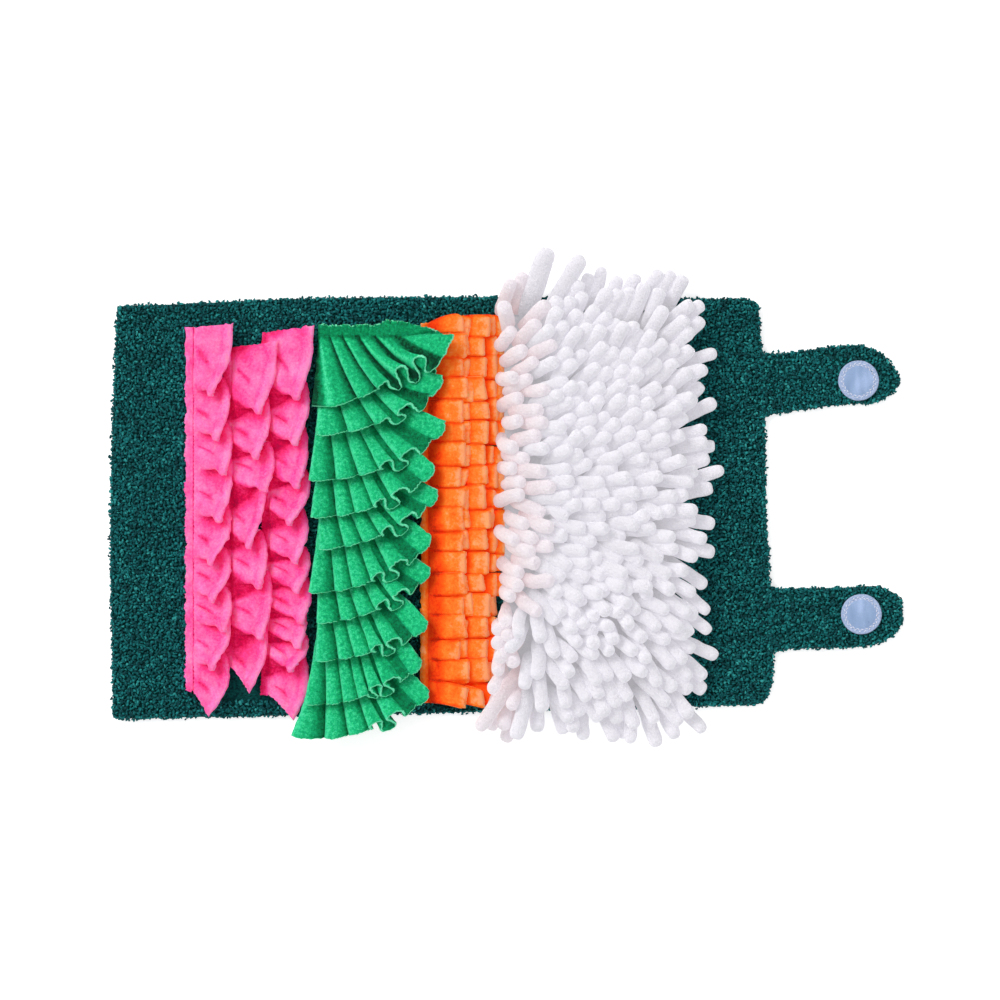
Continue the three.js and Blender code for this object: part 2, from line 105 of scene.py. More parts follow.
PINK_FLANGE = 5.2
PINK_SLANT, PINK_LAST_SLANT = 11, 16
PINK_HEIGHT, PINK_BEND, PINK_TUCK, PINK_LIFT = 12, 3, 9, 1.8
# Pink strips: x of the seam, y of the upper end and how far it is lifted, then for each pleat the
# y of its fold at the free edge and how far its folded corner and its widest point reach.
PINK_STRIPS = {
    "pink_ruffle_left": (-161.2, 117.3, 2, [
        (75, 13, 26), (46, 17, 26), (24, 22, 27), (-7, 19, 27), (-35, 13, 26.5),
        (-59, 14, 27), (-78, 22, 27), (-103, 14, 25.5), (-135.5, 10, 26),
    ]),
    "pink_ruffle_middle": (-136.4, 104, 4, [
        (63.5, 20, 30), (34, 18, 27), (13, 24, 30), (-24, 13, 23), (-50, 20, 25),
        (-83, 21, 28), (-120, 12, 24.5),
    ]),
    "pink_ruffle_right": (-111.8, 114, 4, [
        (72.5, 20, 29), (43, 19, 27.5), (15, 20, 27), (-9, 15, 28.5), (-34, 19, 27.5),
        (-53, 20, 28.5), (-73, 23, 29), (-89, 21, 25), (-104, 16, 27), (-138, 16, 28),
    ]),
}
# The control points of a pleat: share along the seam, which fold it hangs on, bends and tucks away
# from it, rise as a share of the height, bends below it, and share of the free edge's reach.
FOLD_POINTS = [
    (0.16, "before", 1, 0, 1, -1, 0),
    (0.3, "before", 0, 0, 1, -2, 0),
    (0.46, "before", -1, 1, 0, 1.4, 0.3),
    (0.6, "before", 0, 1, 0, 0, 0.7),
    (0.8, "between", 0, 0, 0.46, 0, 1),
    (1.0, "fold", 0, 0, 1, 0, 0),
]
FIRST_POINT = 3  # a strip starts with the panel of its first pleat

GREEN_FIRST, GREEN_PITCH, GREEN_FLANGE = 111.5, 23.55, 7
GREEN_LIFT, GREEN_GATHER = 16, 0.4
FLUTE_CREST = 0.3  # where a flute is highest, as a share of its width
# Green rows: the seam's ends, lean of the left end and turn of the right end in degrees, how early
# the row turns, the fall of its left end, the fall and rise of its right end, and how many flutes
# it would have, were they all as narrow as the first.
GREEN_ROWS = [
    (-79.5, -14, 5, 60, 0.35, 48, 24, 18, 5.5),
    (-79.0, -32, 1, 86, 1.2, 42, 37, 18, 4.5),
    (-79.5, -31, 5, 76, 1.3, 48, 39, 19, 5.4),
    (-79.0, -31, 4, 64, 1.4, 48.5, 34, 21, 5.4),
    (-79.5, -31, -2, 79, 1.4, 45.5, 33, 17, 5.5),
    (-79.0, -31, 5, 64, 1.5, 50, 31, 16, 5.4),
    (-79.5, -33, -1, 71, 1.4, 46, 31, 13.5, 5.45),
    (-79.0, -34, 0, 52, 1.4, 47, 37, 17, 5.4),
    (-80.0, -35, 7, 46, 1.3, 52, 36, 16, 6.4),
    (-80.5, -34, 17, 56, 1.0, 51, 36, 13, 5.4),
]

# What sets the first row apart: how crowded its flutes are at the left, how its fall changes along
# it, where it flattens into petals, and how much shade is painted into its grooves and its loops.
FIRST_ROW = dict(crowded=0.66, fall_power=1.1, petals=(0.7, 0.81), groove=1.05, shade=0.05)
OTHER_ROWS = dict(crowded=0.52, fall_power=1.5, petals=(0.67, 0.82), groove=0.75, shade=0.25)
TURNING = ((-42, 82), (-3, 108))  # the corners of the first row's turned end

ORANGE_TOP, ORANGE_BOTTOM, TABS, SLIT = 125.8, -127, 18, 0.1
LAYER_GAP = 3
# Orange combs: seam, header, reach, height in layer gaps, rise, droop, the stack whose cuts they
# share, the share of the tabs that the next comb hides and that gets painted shade, how dark they
# are painted, where below 0 is painted light thrown back by the white chenille, and how much lower
# their top starts.
ORANGE_COMBS = {
    "orange_fringe_under_right": (16.9, 3, 24.5, 0, 2.8, 1.2, 4, 0.64, 0, 1),
    "orange_fringe_right": (15.2, 3, 21, 0.85, 2.8, 1.2, 1, 0.72, -0.15, 2),
    "orange_fringe_middle": (6, 3, 24, 0.6, 7.4, 0.5, 2, 0.42, 0, 2),
    "orange_fringe_under_left": (-6.4, 4, 24.5, 0.45, 9.8, 0.6, 5, 0.3, 0.12, 6),
    "orange_fringe_left": (-8.2, 5, 23.5, 1.45, 9.9, 0.6, 3, 0.3, 0.12, 6),
}

# The chenille field: where its fingers are rooted, and their size.
FIELD_X = (40.5, 149)
FIELD_Y = (-124, 125)
FIELD_COLUMNS, FIELD_ROWS = 12, 26
FINGER_RADIUS, FINGER_LENGTH, FINGER_JOINTS = 4.95, 31.0, 5
FINGER_APART = 8.4  # as close as two fingers are squeezed
# How often the fingers settle, and each time their share of the way back and how far they sag.
SETTLINGS, SPRING, SAG = 70, 0.06, 0.12
MATTED = 17  # how high the fingers' matted lower halves reach
ORANGE_REFLECTION = 14  # how far into the field the fingers are tinted pink, a painted reflection of the orange fringe
FRINGE_SIDE = (37, -108)  # the fingers lean against the orange fringe: its x, and its lower end
# Which way the fingers are brushed, in degrees from +x: y, then at the field's left edge, in it
# and at its right edge, and how flat they lie at the left edge.
BRUSHED = [
    (-126, -112, -76, -62, 0.8),
    (-100, -118, -56, -38, 0.3),
    (-78, -175, -42, -32, 0.25),
    (-50, -25, -38, -34, 0.45),
    (-20, -20, -8, -15, 0.6),
    (10, -8, 20, 6, 0.6),
    (45, 0, 35, 18, 0.6),
    (85, 15, 47, 18, 0.6),
    (128, 65, 68, 58, 0.8),
]
STEEPEST = (96, -68, 25)  # where the fingers stand up: x, y and how far round it
# The fingers that stand out of the upper edge and the lower left corner: root, lean along x and
# y, length and radius.
LONG_FINGERS = [
    (54, 124, 0.3, 0.86, 50, 7.4),
    (69, 122, 0.46, 0.78, 50, 6.2),
    (45, 112, -0.12, 0.5, 30, 5.6),
    (54, -104, -0.55, -0.8, 53, 5.4),
    (58, -112, -0.25, -0.84, 42, 5.4),
]

# The camera looks straight down on this point, and the picture is this wide.
PICTURE = dict(middle=(38.35, 4.9), width=650, distance=3200)

# ---------------------------------------------------------------- small helpers


def lerp(a, b, share):
    return a + (b - a) * share


def smooth(x, low, high):
    share = np.clip((x - low) / (high - low), 0, 1)
    return share * share * (3 - 2 * share)


def uneven(i, salt):
    """A repeatable unevenness from -1 to 1."""
    return np.sin(i * 2.39996 + salt * 4.1)


def wander(x, salt):
    """A slow, repeatable waviness from about -1 to 1, for numbers or arrays."""
    return 0.5 * np.sin(x + salt * 1.7) + 0.3 * np.sin(2.3 * x + salt * 3.1) + 0.2 * np.sin(5.1 * x + salt)


def ridge(x, middle, width):
    """A smooth ridge of height 1 along the middle."""
    return np.exp(-(((x - middle) / width) ** 2))


def unit(vectors):
    return vectors / np.maximum(np.linalg.norm(vectors, axis=-1, keepdims=True), 1e-9)


def grid_points(x, y, z):
    """Points of a grid, as columns by rows by 3."""
    return np.stack(np.broadcast_arrays(x, y, z), axis=2)


def spread(corners, us, vs):
    """x of the columns and y of the rows of a flat panel between two corners."""
    low, high = corners
    return lerp(low[0], high[0], us[:, None]), lerp(low[1], high[1], vs[None, :])


def only(kind, items):
    return [item for item in items if isinstance(item, kind)]


def close_rim(bm):
    """Fills the open rim of a surface with one face."""
    bmesh.ops.contextual_create(bm, geom=[edge for edge in bm.edges if edge.is_boundary])


def face_outwards(bm):
    bmesh.ops.recalc_face_normals(bm, faces=bm.faces[:])


def arc(a, b, c, count):
    """Points of a curve from a to c that heads for b at first."""
    return [a.lerp(b, share).lerp(b.lerp(c, share), share) for share in steps(count)]


def steps(count):
    return [i / count for i in range(count + 1)]


def right_edge(y):
    low, high = RIGHT_EDGE
    return lerp(low[0], high[0], (y - low[1]) / (high[1] - low[1]))


def strap_place(strap, along, aside):
    """A point of a strap, along and aside of its middle line from its root."""
    turn = math.radians(strap["tilt"])
    return (
        right_edge(strap["y"]) + along * math.cos(turn) - aside * math.sin(turn),
        strap["y"] + along * math.sin(turn) + aside * math.cos(turn),
    )


def tape_centre(name):
    return strap_place(STRAPS[name], STRAPS[name]["reach"] - TAPE_FROM_TIP, 0)


def frame_shift():
    """From the middle of the mat to the frame's origin, from a tape round that both know."""
    low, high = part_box("tape_round_upper")
    x, y = tape_centre("strap_upper")
    return Vector(((low[0] + high[0]) / 2 - x * MM, (low[1] + high[1]) / 2 - y * MM, 0))


SHIFT = frame_shift()

# ---------------------------------------------------------------- materials


def colour(code):
    """Linear colour from a six-figure hex code."""
    shares = [int(code[i : i + 2], 16) / 255 for i in (1, 3, 5)]
    return [s / 12.92 if s <= 0.04045 else ((s + 0.055) / 1.055) ** 2.4 for s in shares] + [1]


class Shader:
    """A material with one principled shader, and short ways to add nodes to it."""

    def __init__(self, name, roughness, specular=0.15):
        self.material = bpy.data.materials.new(name)
        self.material.use_nodes = True
        self.tree = self.material.node_tree
        self.shader = self.tree.nodes["Principled BSDF"]
        self.set("Roughness", roughness)
        self.set("Specular IOR Level", specular)
        self.place = self.tree.nodes.new("ShaderNodeTexCoord").outputs["Object"]

    def set(self, socket, value):
        """Sets one input of the principled shader."""
        self.shader.inputs[socket].default_value = value

    def sheen(self, weight, roughness, tint):
        self.set("Sheen Weight", weight)
        self.set("Sheen Roughness", roughness)
        self.set("Sheen Tint", tint)

    def scatter(self, radii, reach, weight=1.0):
        """Light that spreads inside the cloth, by as much for each colour, in millimetres."""
        self.set("Subsurface Weight", weight)
        self.set("Subsurface Radius", radii)
        self.set("Subsurface Scale", reach * MM)

    def glow(self, code, strength):
        """A painted glow: light the cloth gives off itself, in place of light that comes through thin
        cloth, so that its shadows keep their colour.
        """
        self.set("Emission Color", colour(code))
        self.set("Emission Strength", strength)

    def link(self, output, target):
        self.tree.links.new(output, target)

    def noise(self, size, detail=2, stretch=None, rough=0.5):
        """Noise from 0 to 1 whose lumps are about size millimetres wide."""
        node = self.tree.nodes.new("ShaderNodeTexNoise")
        node.inputs["Scale"].default_value = 1 / (size * MM)
        node.inputs["Detail"].default_value = detail
        node.inputs["Roughness"].default_value = rough
        source = self.place
        if stretch:
            mapping = self.tree.nodes.new("ShaderNodeMapping")
            mapping.inputs["Scale"].default_value = stretch
            self.link(source, mapping.inputs["Vector"])
            source = mapping.outputs["Vector"]
        self.link(source, node.inputs["Vector"])
        return node.outputs["Fac"]

    def attribute(self, name):
        node = self.tree.nodes.new("ShaderNodeAttribute")
        node.attribute_name = name
        return node.outputs["Fac"]

    def math(self, operation, *values):
        node = self.tree.nodes.new("ShaderNodeMath")
        node.operation = operation
        for socket, value in zip(node.inputs, values):
            if isinstance(value, (int, float)):
                socket.default_value = value
            else:
                self.link(value, socket)
        return node.outputs[0]

    def blend(self, *parts):
        """The sum of some outputs, each times its weight."""
        total = 0
        for output, weight in parts:
            total = self.math("ADD", total, self.math("MULTIPLY", output, weight))
        return total

    def ramp(self, share, stops):
        node = self.tree.nodes.new("ShaderNodeValToRGB")
        elements = node.color_ramp.elements
        while len(elements) < len(stops):
            elements.new(0.5)
        for element, (position, code) in zip(elements, stops):
            element.position = position
            element.color = colour(code)
        self.link(share, node.inputs["Fac"])
        return node.outputs["Color"]

    def base(self, output):
        self.link(output, self.shader.inputs["Base Color"])

    def bump(self, height, strength, distance):
        node = self.tree.nodes.new("ShaderNodeBump")
        node.inputs["Strength"].default_value = strength
        node.inputs["Distance"].default_value = distance * MM
        self.link(height, node.inputs["Height"])
        self.link(node.outputs["Normal"], self.shader.inputs["Normal"])

    def speckle(self, size, detail, stops, strength, relief):
        """Fine lumps that give both the colour and the bump."""
        lumps = self.noise(size, detail)
        self.base(self.ramp(lumps, stops))
        self.bump(lumps, strength, relief)


def brushed_fleece(name, colours, patch, lump, relief, scatter, glow):
    """Fleece: a soft nap in patches of some size, small lumps of pilled fibre, folds and seams.

    The colours run from the deepest folds and seams to the lightest nap: shade is painted into the
    folds and seams, and highlights onto proud places, from the painted shading that each point carries.
    """
    cloth = Shader(name, 0.95)
    cloth.scatter(scatter, 4, 0.6)
    cloth.glow(*glow)
    cloth.sheen(0.2, 0.5, colour(colours[-1]))
    fibres = cloth.noise(lump, 3, rough=0.6)
    # Painted shade and highlight: the colour darkens deep in folds and seams, and lightens where a point
    # stands proud.
    share = cloth.blend((cloth.noise(patch), 0.5), (fibres, 0.5), (cloth.attribute("painted_shading"), -0.5))
    stops = zip((0, 0.15, 0.48, 0.65, 0.81), colours)
    cloth.base(cloth.ramp(cloth.math("ADD", share, 0.15), list(stops)))
    grain = cloth.blend((fibres, 1), (cloth.noise(lump * 0.35), 0.5))
    cloth.bump(grain, 0.6, relief)
    return cloth.material


def cut_edge(name, code, light):
    """The cut edge of fleece: paler, and rough with loose fibre, with a painted glow so that it does not
    go grey where it faces away from the lamps.
    """
    cloth = Shader(name, 1.0)
    cloth.sheen(0.3, 0.5, colour(light))
    cloth.glow(code, 0.2)
    cloth.speckle(0.8, 3, [(0.3, code), (0.65, light)], 0.5, 0.4)
    return cloth.material


def curly_pile():
    """Yarn whose curls each have a tone of their own, in larger and smaller patches."""
    pile = Shader("curly_pile", 0.85, 0.25)
    pile.sheen(0.15, 0.6, colour("#3f9c94"))
    share = pile.blend((pile.attribute("tone"), 0.45), (pile.noise(14), 0.25), (pile.noise(2.6), 0.35))
    stops = [(0.1, "#00252b"), (0.4, "#034b50"), (0.66, "#107a7c"), (0.9, "#45b8b2")]
    pile.base(pile.ramp(share, stops))
    return pile.material


def pile_ground():
    ground = Shader("pile_ground", 1.0)
    ground.speckle(1.6, 3, [(0.35, "#01292c"), (0.65, "#075450")], 0.8, 1.2)
    return ground.material


def soft_chenille(name, root, middle, tip, light):
    """Chenille with painted shade: darkest at the fingers' roots, deep between the fingers, and paler
    to their tips, by the tone each point carries; light is the colour of a painted glow that softens it.
    """
    chenille = Shader(name, 1.0)
    chenille.sheen(0.1, 0.5, colour("#ffffff"))
    # Painted glow, in the colour light, which softens the fingers' shading.
    chenille.glow(light, 0.335)
    chenille.scatter((1, 1, 1), 4)
    fibres = chenille.noise(0.9, 3)
    tone = chenille.attribute("tone")
    share = chenille.blend((tone, 0.8), (fibres, 0.2), (chenille.noise(16), 0.2))
    chenille.base(chenille.ramp(share, [(0.2, root), (0.55, middle), (0.9, tip)]))
    knots = chenille.blend((chenille.noise(2.2), 1), (fibres, 0.5))
    chenille.bump(knots, 1.0, 2.2)
    return chenille.material


def looped_tape():
    tape = Shader("looped_tape", 0.7, 0.3)
    tape.sheen(0.3, 0.4, colour("#e8eefc"))
    weave = tape.noise(0.45)
    # The stretched noise paints paler bands across the tape, a painted sheen along its folds.
    share = tape.blend((weave, 0.35), (tape.noise(7, 1, (1, 0.3, 1)), 0.65))
    tape.base(tape.ramp(share, [(0.3, "#7f97bd"), (0.5, "#93aad0"), (0.7, "#b2c6ec")]))
    tape.bump(weave, 0.4, 0.3)
    return tape.material


def pale_rim(name, code, light):
    rim = Shader(name, 0.7, 0.3)
    rim.speckle(0.7, 2, [(0.35, code), (0.65, light)], 0.5, 0.3)
    return rim.material


CURLY_PILE = curly_pile()
PILE_GROUND = pile_ground()
# Each fleece has a painted glow that keeps the colour in its shadows.
PINK_FLEECE = brushed_fleece(
    "pink_fleece",
    colours=("#8c0b3c", "#c80047", "#f94b97", "#fd76b5", "#ff94c9"),
    patch=11,
    lump=1.6,
    relief=0.35,
    scatter=(1, 0.05, 0.3),
    glow=("#ff0058", 0.16),
)
GREEN_FLEECE = brushed_fleece(
    "green_fleece",
    colours=("#00241a", "#00311d", "#07965f", "#1cc080", "#4be0a5"),
    patch=2.2,
    lump=0.9,
    relief=0.8,
    scatter=(0.1, 0.4, 0.2),
    glow=("#00a060", 0.03),
)
ORANGE_FLEECE = brushed_fleece(
    "orange_fleece",
    colours=("#a62000", "#e83400", "#ff6a16", "#ff8a32", "#ffb27a"),
    patch=9,
    lump=1.8,
    relief=0.25,
    scatter=(1, 0.3, 0.05),
    glow=("#ff2a00", 0.13),
)
# Each cloth, and the material of its cut edges.
PINK_CLOTH = [PINK_FLEECE, cut_edge("pink_edge", "#fb78b6", "#ff9ccb")]
GREEN_CLOTH = [GREEN_FLEECE, cut_edge("green_edge", "#4bd29b", "#86eac0")]
ORANGE_CLOTH = [ORANGE_FLEECE, cut_edge("orange_edge", "#ff8636", "#ffa462")]
# The fingers get painted shade toward their roots and a painted glow that softens their shading.
CHENILLE = soft_chenille("soft_chenille", "#757278", "#bcb9c0", "#c8c5cc", "#fbf9ff")
# The fingers next to the orange fringe get pinker roots and a pink glow, a painted reflection of the
# fringe.
ORANGE_LIT_CHENILLE = soft_chenille("orange_lit_chenille", "#94696c", "#beb0b5", "#c9c3c9", "#fff5f8")
TAPE = looped_tape()
TAPE_RIM = pale_rim("tape_rim", "#8ea3c8", "#b4c3e2")
TAPE_THREAD = pale_rim("tape_thread", "#e6e6f2", "#f6f5fb")

# ---------------------------------------------------------------- pieces


def add_object(name, data):
    """A new object of a mesh, a lamp or a camera, in the scene."""
    made = bpy.data.objects.new(name, data)
    bpy.context.collection.objects.link(made)
    return made


def add_piece(name, bm, materials, nodes, thick=0):
    """Makes a piece of a bmesh in millimetres. thick turns a surface into a sheet of cloth."""
    bm.transform(Matrix.Translation(SHIFT) @ Matrix.Scale(MM, 4))
    mesh = bpy.data.meshes.new(name)
    bm.to_mesh(mesh)
    bm.free()
    mesh.shade_smooth()
    piece = add_object(name, mesh)
    for material in materials:
        mesh.materials.append(material)
    if thick:
        cloth = piece.modifiers.new("thickness", "SOLIDIFY")
        cloth.thickness = thick * MM
        cloth.offset = 0
        cloth.material_offset_rim = len(materials) - 1
    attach(piece, "root")
    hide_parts(*nodes)
    return piece


def cloth_grid(us, vs, place, painted_shading=None):
    """A grid of cloth whose point at column u and row v is place(u, v), on arrays of both.

    The last argument gives, on the same arrays, the shade painted into the cloth's colour by how
    deep in a fold a point lies: 1 is deep, and below 0 a point is proud and gets a painted highlight.
    """
    bm = bmesh.new()
    bmesh.ops.create_grid(bm, x_segments=len(us) - 1, y_segments=len(vs) - 1, size=0.5)
    flat = np.array([vertex.co for vertex in bm.verts])
    columns = np.rint((flat[:, 0] + 0.5) * (len(us) - 1)).astype(int)
    rows = np.rint((flat[:, 1] + 0.5) * (len(vs) - 1)).astype(int)
    us, vs = np.asarray(us, float), np.asarray(vs, float)
    points = place(us, vs)[columns, rows]
    for vertex, point in zip(bm.verts, points):
        vertex.co = point
    # Stores each point's painted shade and highlight for the material.
    if painted_shading:
        depth = bm.verts.layers.float.new("painted_shading")
        for vertex, value in zip(bm.verts, painted_shading(us, vs)[columns, rows]):
            vertex[depth] = value
    return bm


def facing(points):
    """Unit normals of a grid of points, given as columns by rows by 3."""
    return unit(np.cross(np.gradient(points, axis=0), np.gradient(points, axis=1)))


def fray(edge, rng, amount, upwards=1):
    """Roughens one row or column of a grid of cloth, in place."""
    edge += rng.normal(0, amount, edge.shape) * (1, 1, upwards)


def rough_edge(points, rng, amount):
    """Frays the last row of a grid of cloth, and its two end columns."""
    for edge in (points[:, -1], points[0], points[-1]):
        fray(edge, rng, amount, 0.4)


def keep_above(points, lowest):
    points[:, :, 2] = np.maximum(points[:, :, 2], lowest)


# ---------------------------------------------------------------- pink pleats


def pleat_point(strip, pleat_index, point, vs):
    """A control point of a pleat for each of vs, from 0 at the seam to 1 at the free edge."""
    seam, top, top_lift, pleats = strip
    flat, hangs_on, bends, tucks, rise, drop, wide = point
    fold, corner, edge = pleats[pleat_index]
    start = pleat_index == 0
    last = pleat_index == len(pleats) - 1
    fold_before, corner_before, _ = (top, edge, edge) if start else pleats[pleat_index - 1]

    flat_start = FOLD_POINTS[FIRST_POINT][0] if start else 0
    flat_share = (flat - flat_start) / (1 - flat_start)
    seam_before = fold_before + (0 if start else PINK_SLANT)
    flat_y = lerp(seam_before, fold + (PINK_LAST_SLANT if last else PINK_SLANT), flat_share)

    tuck = 0 if start else min(PINK_TUCK, 0.4 * (fold_before - fold))
    bend = 0 if start else PINK_BEND
    folded_y = {
        "before": fold_before + tucks * tuck,
        "between": lerp(fold_before + tuck, fold, 0.55),
        "fold": fold,
    }[hangs_on]
    height = PINK_HEIGHT * (1 + 0.1 * uneven(pleat_index, seam))
    raised = vs**0.5
    risen = 0.3 if start and hangs_on == "before" else rise
    settled = 1 - 0.45 * flat if last else 1
    first_slope = top_lift * (1 - flat_share) if start else 0
    reach = lerp(corner_before if hangs_on == "before" else corner, edge, wide)
    return np.stack(
        [
            seam + vs * reach,
            lerp(flat_y, folded_y, vs**1.2) - raised * bends * bend + first_slope * vs,
            TOP + FLEECE / 2 + raised * ((height * risen + drop * bend) * settled + PINK_LIFT),
        ],
        axis=1,
    )


def spline_weights(count, ts):
    """Weights of a uniform cubic B-spline on control points that have one more at each end."""
    weights = np.zeros((len(ts), count + 2))
    for row, t in enumerate(ts):
        first = min(int(t), count - 2)
        f = t - first
        shares = [(1 - f) ** 3, 3 * f**3 - 6 * f**2 + 4, -3 * f**3 + 3 * f**2 + 3 * f + 1, f**3]
        weights[row, first : first + 4] = np.array(shares) / 6
    return weights


def pink_strip(name, strip, rng):
    """A strip of pleats, sewn down along its left edge."""
    seam, top, _, pleats = strip
    points_in_all = len(pleats) * len(FOLD_POINTS) - FIRST_POINT
    us = np.linspace(0, points_in_all - 1, (points_in_all - 1) * 7 + 1)
    vs = [-1, -0.6, -0.3, -0.12, 0, 0.03, *np.linspace(0.06, 1, 18)]

    def place(us, rows):
        open_rows = np.maximum(rows, 0)
        controls = [
            pleat_point(strip, pleat, point, open_rows)
            for pleat in range(len(pleats))
            for point in FOLD_POINTS
        ][FIRST_POINT:]
        controls = np.array(controls)
        before = 2 * controls[:1] - controls[1:2]
        after = 2 * controls[-1:] - controls[-2:-1]
        padded = np.concatenate([before, controls, after])
        points = np.tensordot(spline_weights(len(controls), us), padded, axes=(1, 0))
        points[:, :, 0] += np.minimum(rows, 0) * PINK_FLANGE
        points = pink_relief(points, us, rows, seam)
        rough_edge(points, rng, 0.3)
        fray(points[:, 0], rng, 0.3, 0.3)
        points[:, :, 0] += 0.9 * wander(us[:, None] * 1.3, seam) * np.minimum(rows, 0)
        keep_above(points, TOP + FLEECE / 2)
        return points

    def painted_shading(us, rows):
        return pink_painted_shading(us, rows, seam, name == "pink_ruffle_left")

    bm = cloth_grid(us, vs, place, painted_shading)
    piece = add_piece(name.replace("ruffle", "pleats"), bm, PINK_CLOTH, [name], FLEECE)


def pleat_phase(column):
    """How far along its pleat a column lies, in fold points."""
    return (column + FIRST_POINT) % len(FOLD_POINTS)


def pink_relief(points, us, rows, seam):
    """The stitched groove, the rolled free edge and one dent in each pleat."""
    column, row = us[:, None], rows[None, :]
    groove = -1.1 * ridge(row, 0, 0.035) * (1 + 0.5 * np.sin(column * 9))
    band = 1.5 * ridge(row, 0.88, 0.08) - 1.1 * ridge(row, 0.66, 0.1)
    band = band * smooth(row, 0, 0.4)
    pleat = (column + FIRST_POINT) // len(FOLD_POINTS)
    slope = 4.15 + 0.25 * uneven(pleat, seam) + 1.2 * (row - 0.3)
    depth = (2.6 + 1.0 * uneven(pleat, 3)) * np.exp(-np.abs(pleat_phase(column) - slope) / 0.2)
    dent = -depth * smooth(row, 0.02, 0.25) * (1 - smooth(row, 0.45, 0.8))
    lumps = 0.35 * wander(column * 1.9, 1) * wander(row * 9, 2)
    return points + facing(points) * (groove + band + dent + lumps)[:, :, None]


def pink_painted_shading(us, rows, seam, leftmost):
    """Painted shade in the pleats' mouths and dents, along the leftmost strip's stitch line, and where
    another strip lies over it, with a painted highlight along the rolled free edge.
    """
    column, row = us[:, None], rows[None, :]
    phase = pleat_phase(column)
    mouth = ridge(phase, 2.3, 1.0) * smooth(row, 0.1, 0.6) * smooth(column, 1, 3)
    stitches = ridge(row, 0, 0.02) * (1.05 + 0.35 * np.sin(column * 13))
    slope = 4.15 + 1.2 * (row - 0.3)
    dent = np.exp(-np.abs(phase - slope) / 0.12) * smooth(row, 0.02, 0.2) * (1 - smooth(row, 0.4, 0.6))
    # A painted highlight along the rolled free edge, with painted shade just inside it.
    band = ridge(row, 0.95, 0.05) - 0.7 * ridge(row, 0.76, 0.07)
    creased = 1.15 * mouth + 0.9 * dent - 0.3 * band
    if leftmost:
        return np.clip(creased, -0.4, 1) + stitches
    # Strips that lie under another get painted shadow on their flange and in the valley by their seam.
    fold = 0.6 + 0.9 * np.cos((phase - 1.5) * np.pi / 3) + 0.4 * wander(column * 0.7, seam)
    valley = ridge(row, 0.12, 0.4) * np.maximum(fold, 0)
    under = 0.8 * smooth(-row, 0, 0.5) + 1.9 * valley
    return np.clip(creased + under, -0.4, 1)


# ---------------------------------------------------------------- green flutes


def row_kind(index):
    return FIRST_ROW if index == 0 else OTHER_ROWS


def flutes_name(index):
    return f"green_flutes_{index + 1:02d}"


def flute_share(index, u):
    """How far along its flute a point lies, from 0 to 1. Flutes get wider to the right."""
    waves = GREEN_ROWS[index][-1]
    crowded = row_kind(index)["crowded"]
    turns = waves * (u + crowded * u * (1 - u)) + 0.15 * np.sin(9 * u + index) * u * (1 - u)
    return (turns - waves + 0.5) % 1


def flute_height(share):
    """The section of a flute, from -1 in its groove to 1: steep at the left, sloping at the right."""
    rising = np.clip(share / FLUTE_CREST, 0, 1) ** 0.7
    falling = 1 - np.clip((share - FLUTE_CREST) / (1 - FLUTE_CREST), 0, 1) ** 1.9
    return 2 * np.minimum(rising, falling) - 1


def row_heading(row, first, u, open_v):
    """Which way the cloth falls from its seam, in radians from +x."""
    _, _, lean, turn, sweep, *_ = row
    if first:
        swung = smooth(u, 0.72, 1) * (40 - 12 * open_v)
    else:
        swung = 10 * smooth(u, 0, 0.15) * (1 - smooth(u, 0.3, 0.7))
    turned = lerp(-lean, turn, u**sweep) * (0.8 + 0.2 * open_v) + swung
    return np.radians(turned - 90)


def flute_wave(index, u, open_v, standing, looped):
    """How far the flutes stand out, and how far they lean over to the side."""
    share = flute_share(index, u)
    phase = 2 * np.pi * (share - FLUTE_CREST)
    petal = 0.85 * smooth(u, *row_kind(index)["petals"])
    opening = open_v ** lerp(0.8, 1.3, u)
    depth = (lerp(3, 4.4, u) + 1.7 * standing) * opening * (1 - petal) + GREEN_GATHER
    wave = depth * (lerp(flute_height(share), np.cos(phase), looped) + 0.1)
    curl = lerp(1.6, 3.6 - 0.6 * standing, u) * open_v**1.5 * (1 + 0.2 * wander(u * 9, index))
    overhang = lerp(-ridge(share, 0.16, 0.12), np.sin(2 * phase), looped)
    return wave, curl * overhang - 0.15 * wave * open_v


def row_reach(index, row, u, wave, looped, drawn_in):
    """How far the free edge reaches from the seam."""
    left_fall, tip_fall = row[5:7]
    fall = lerp(left_fall, tip_fall, u ** row_kind(index)["fall_power"])
    scallop = 1.2 * (flute_height(flute_share(index, u)) - 1) * (1 - looped)
    rounded = 1 - 0.1 * smooth(u, 0.9, 1) ** 2
    filled = 4.5 * ridge(u, 0.85, 0.04) - 1.8 * smooth(u, 0.9, 0.96) if index == 0 else 0
    return rounded * (fall + scallop - 0.15 * wave * (1 - drawn_in)) + filled


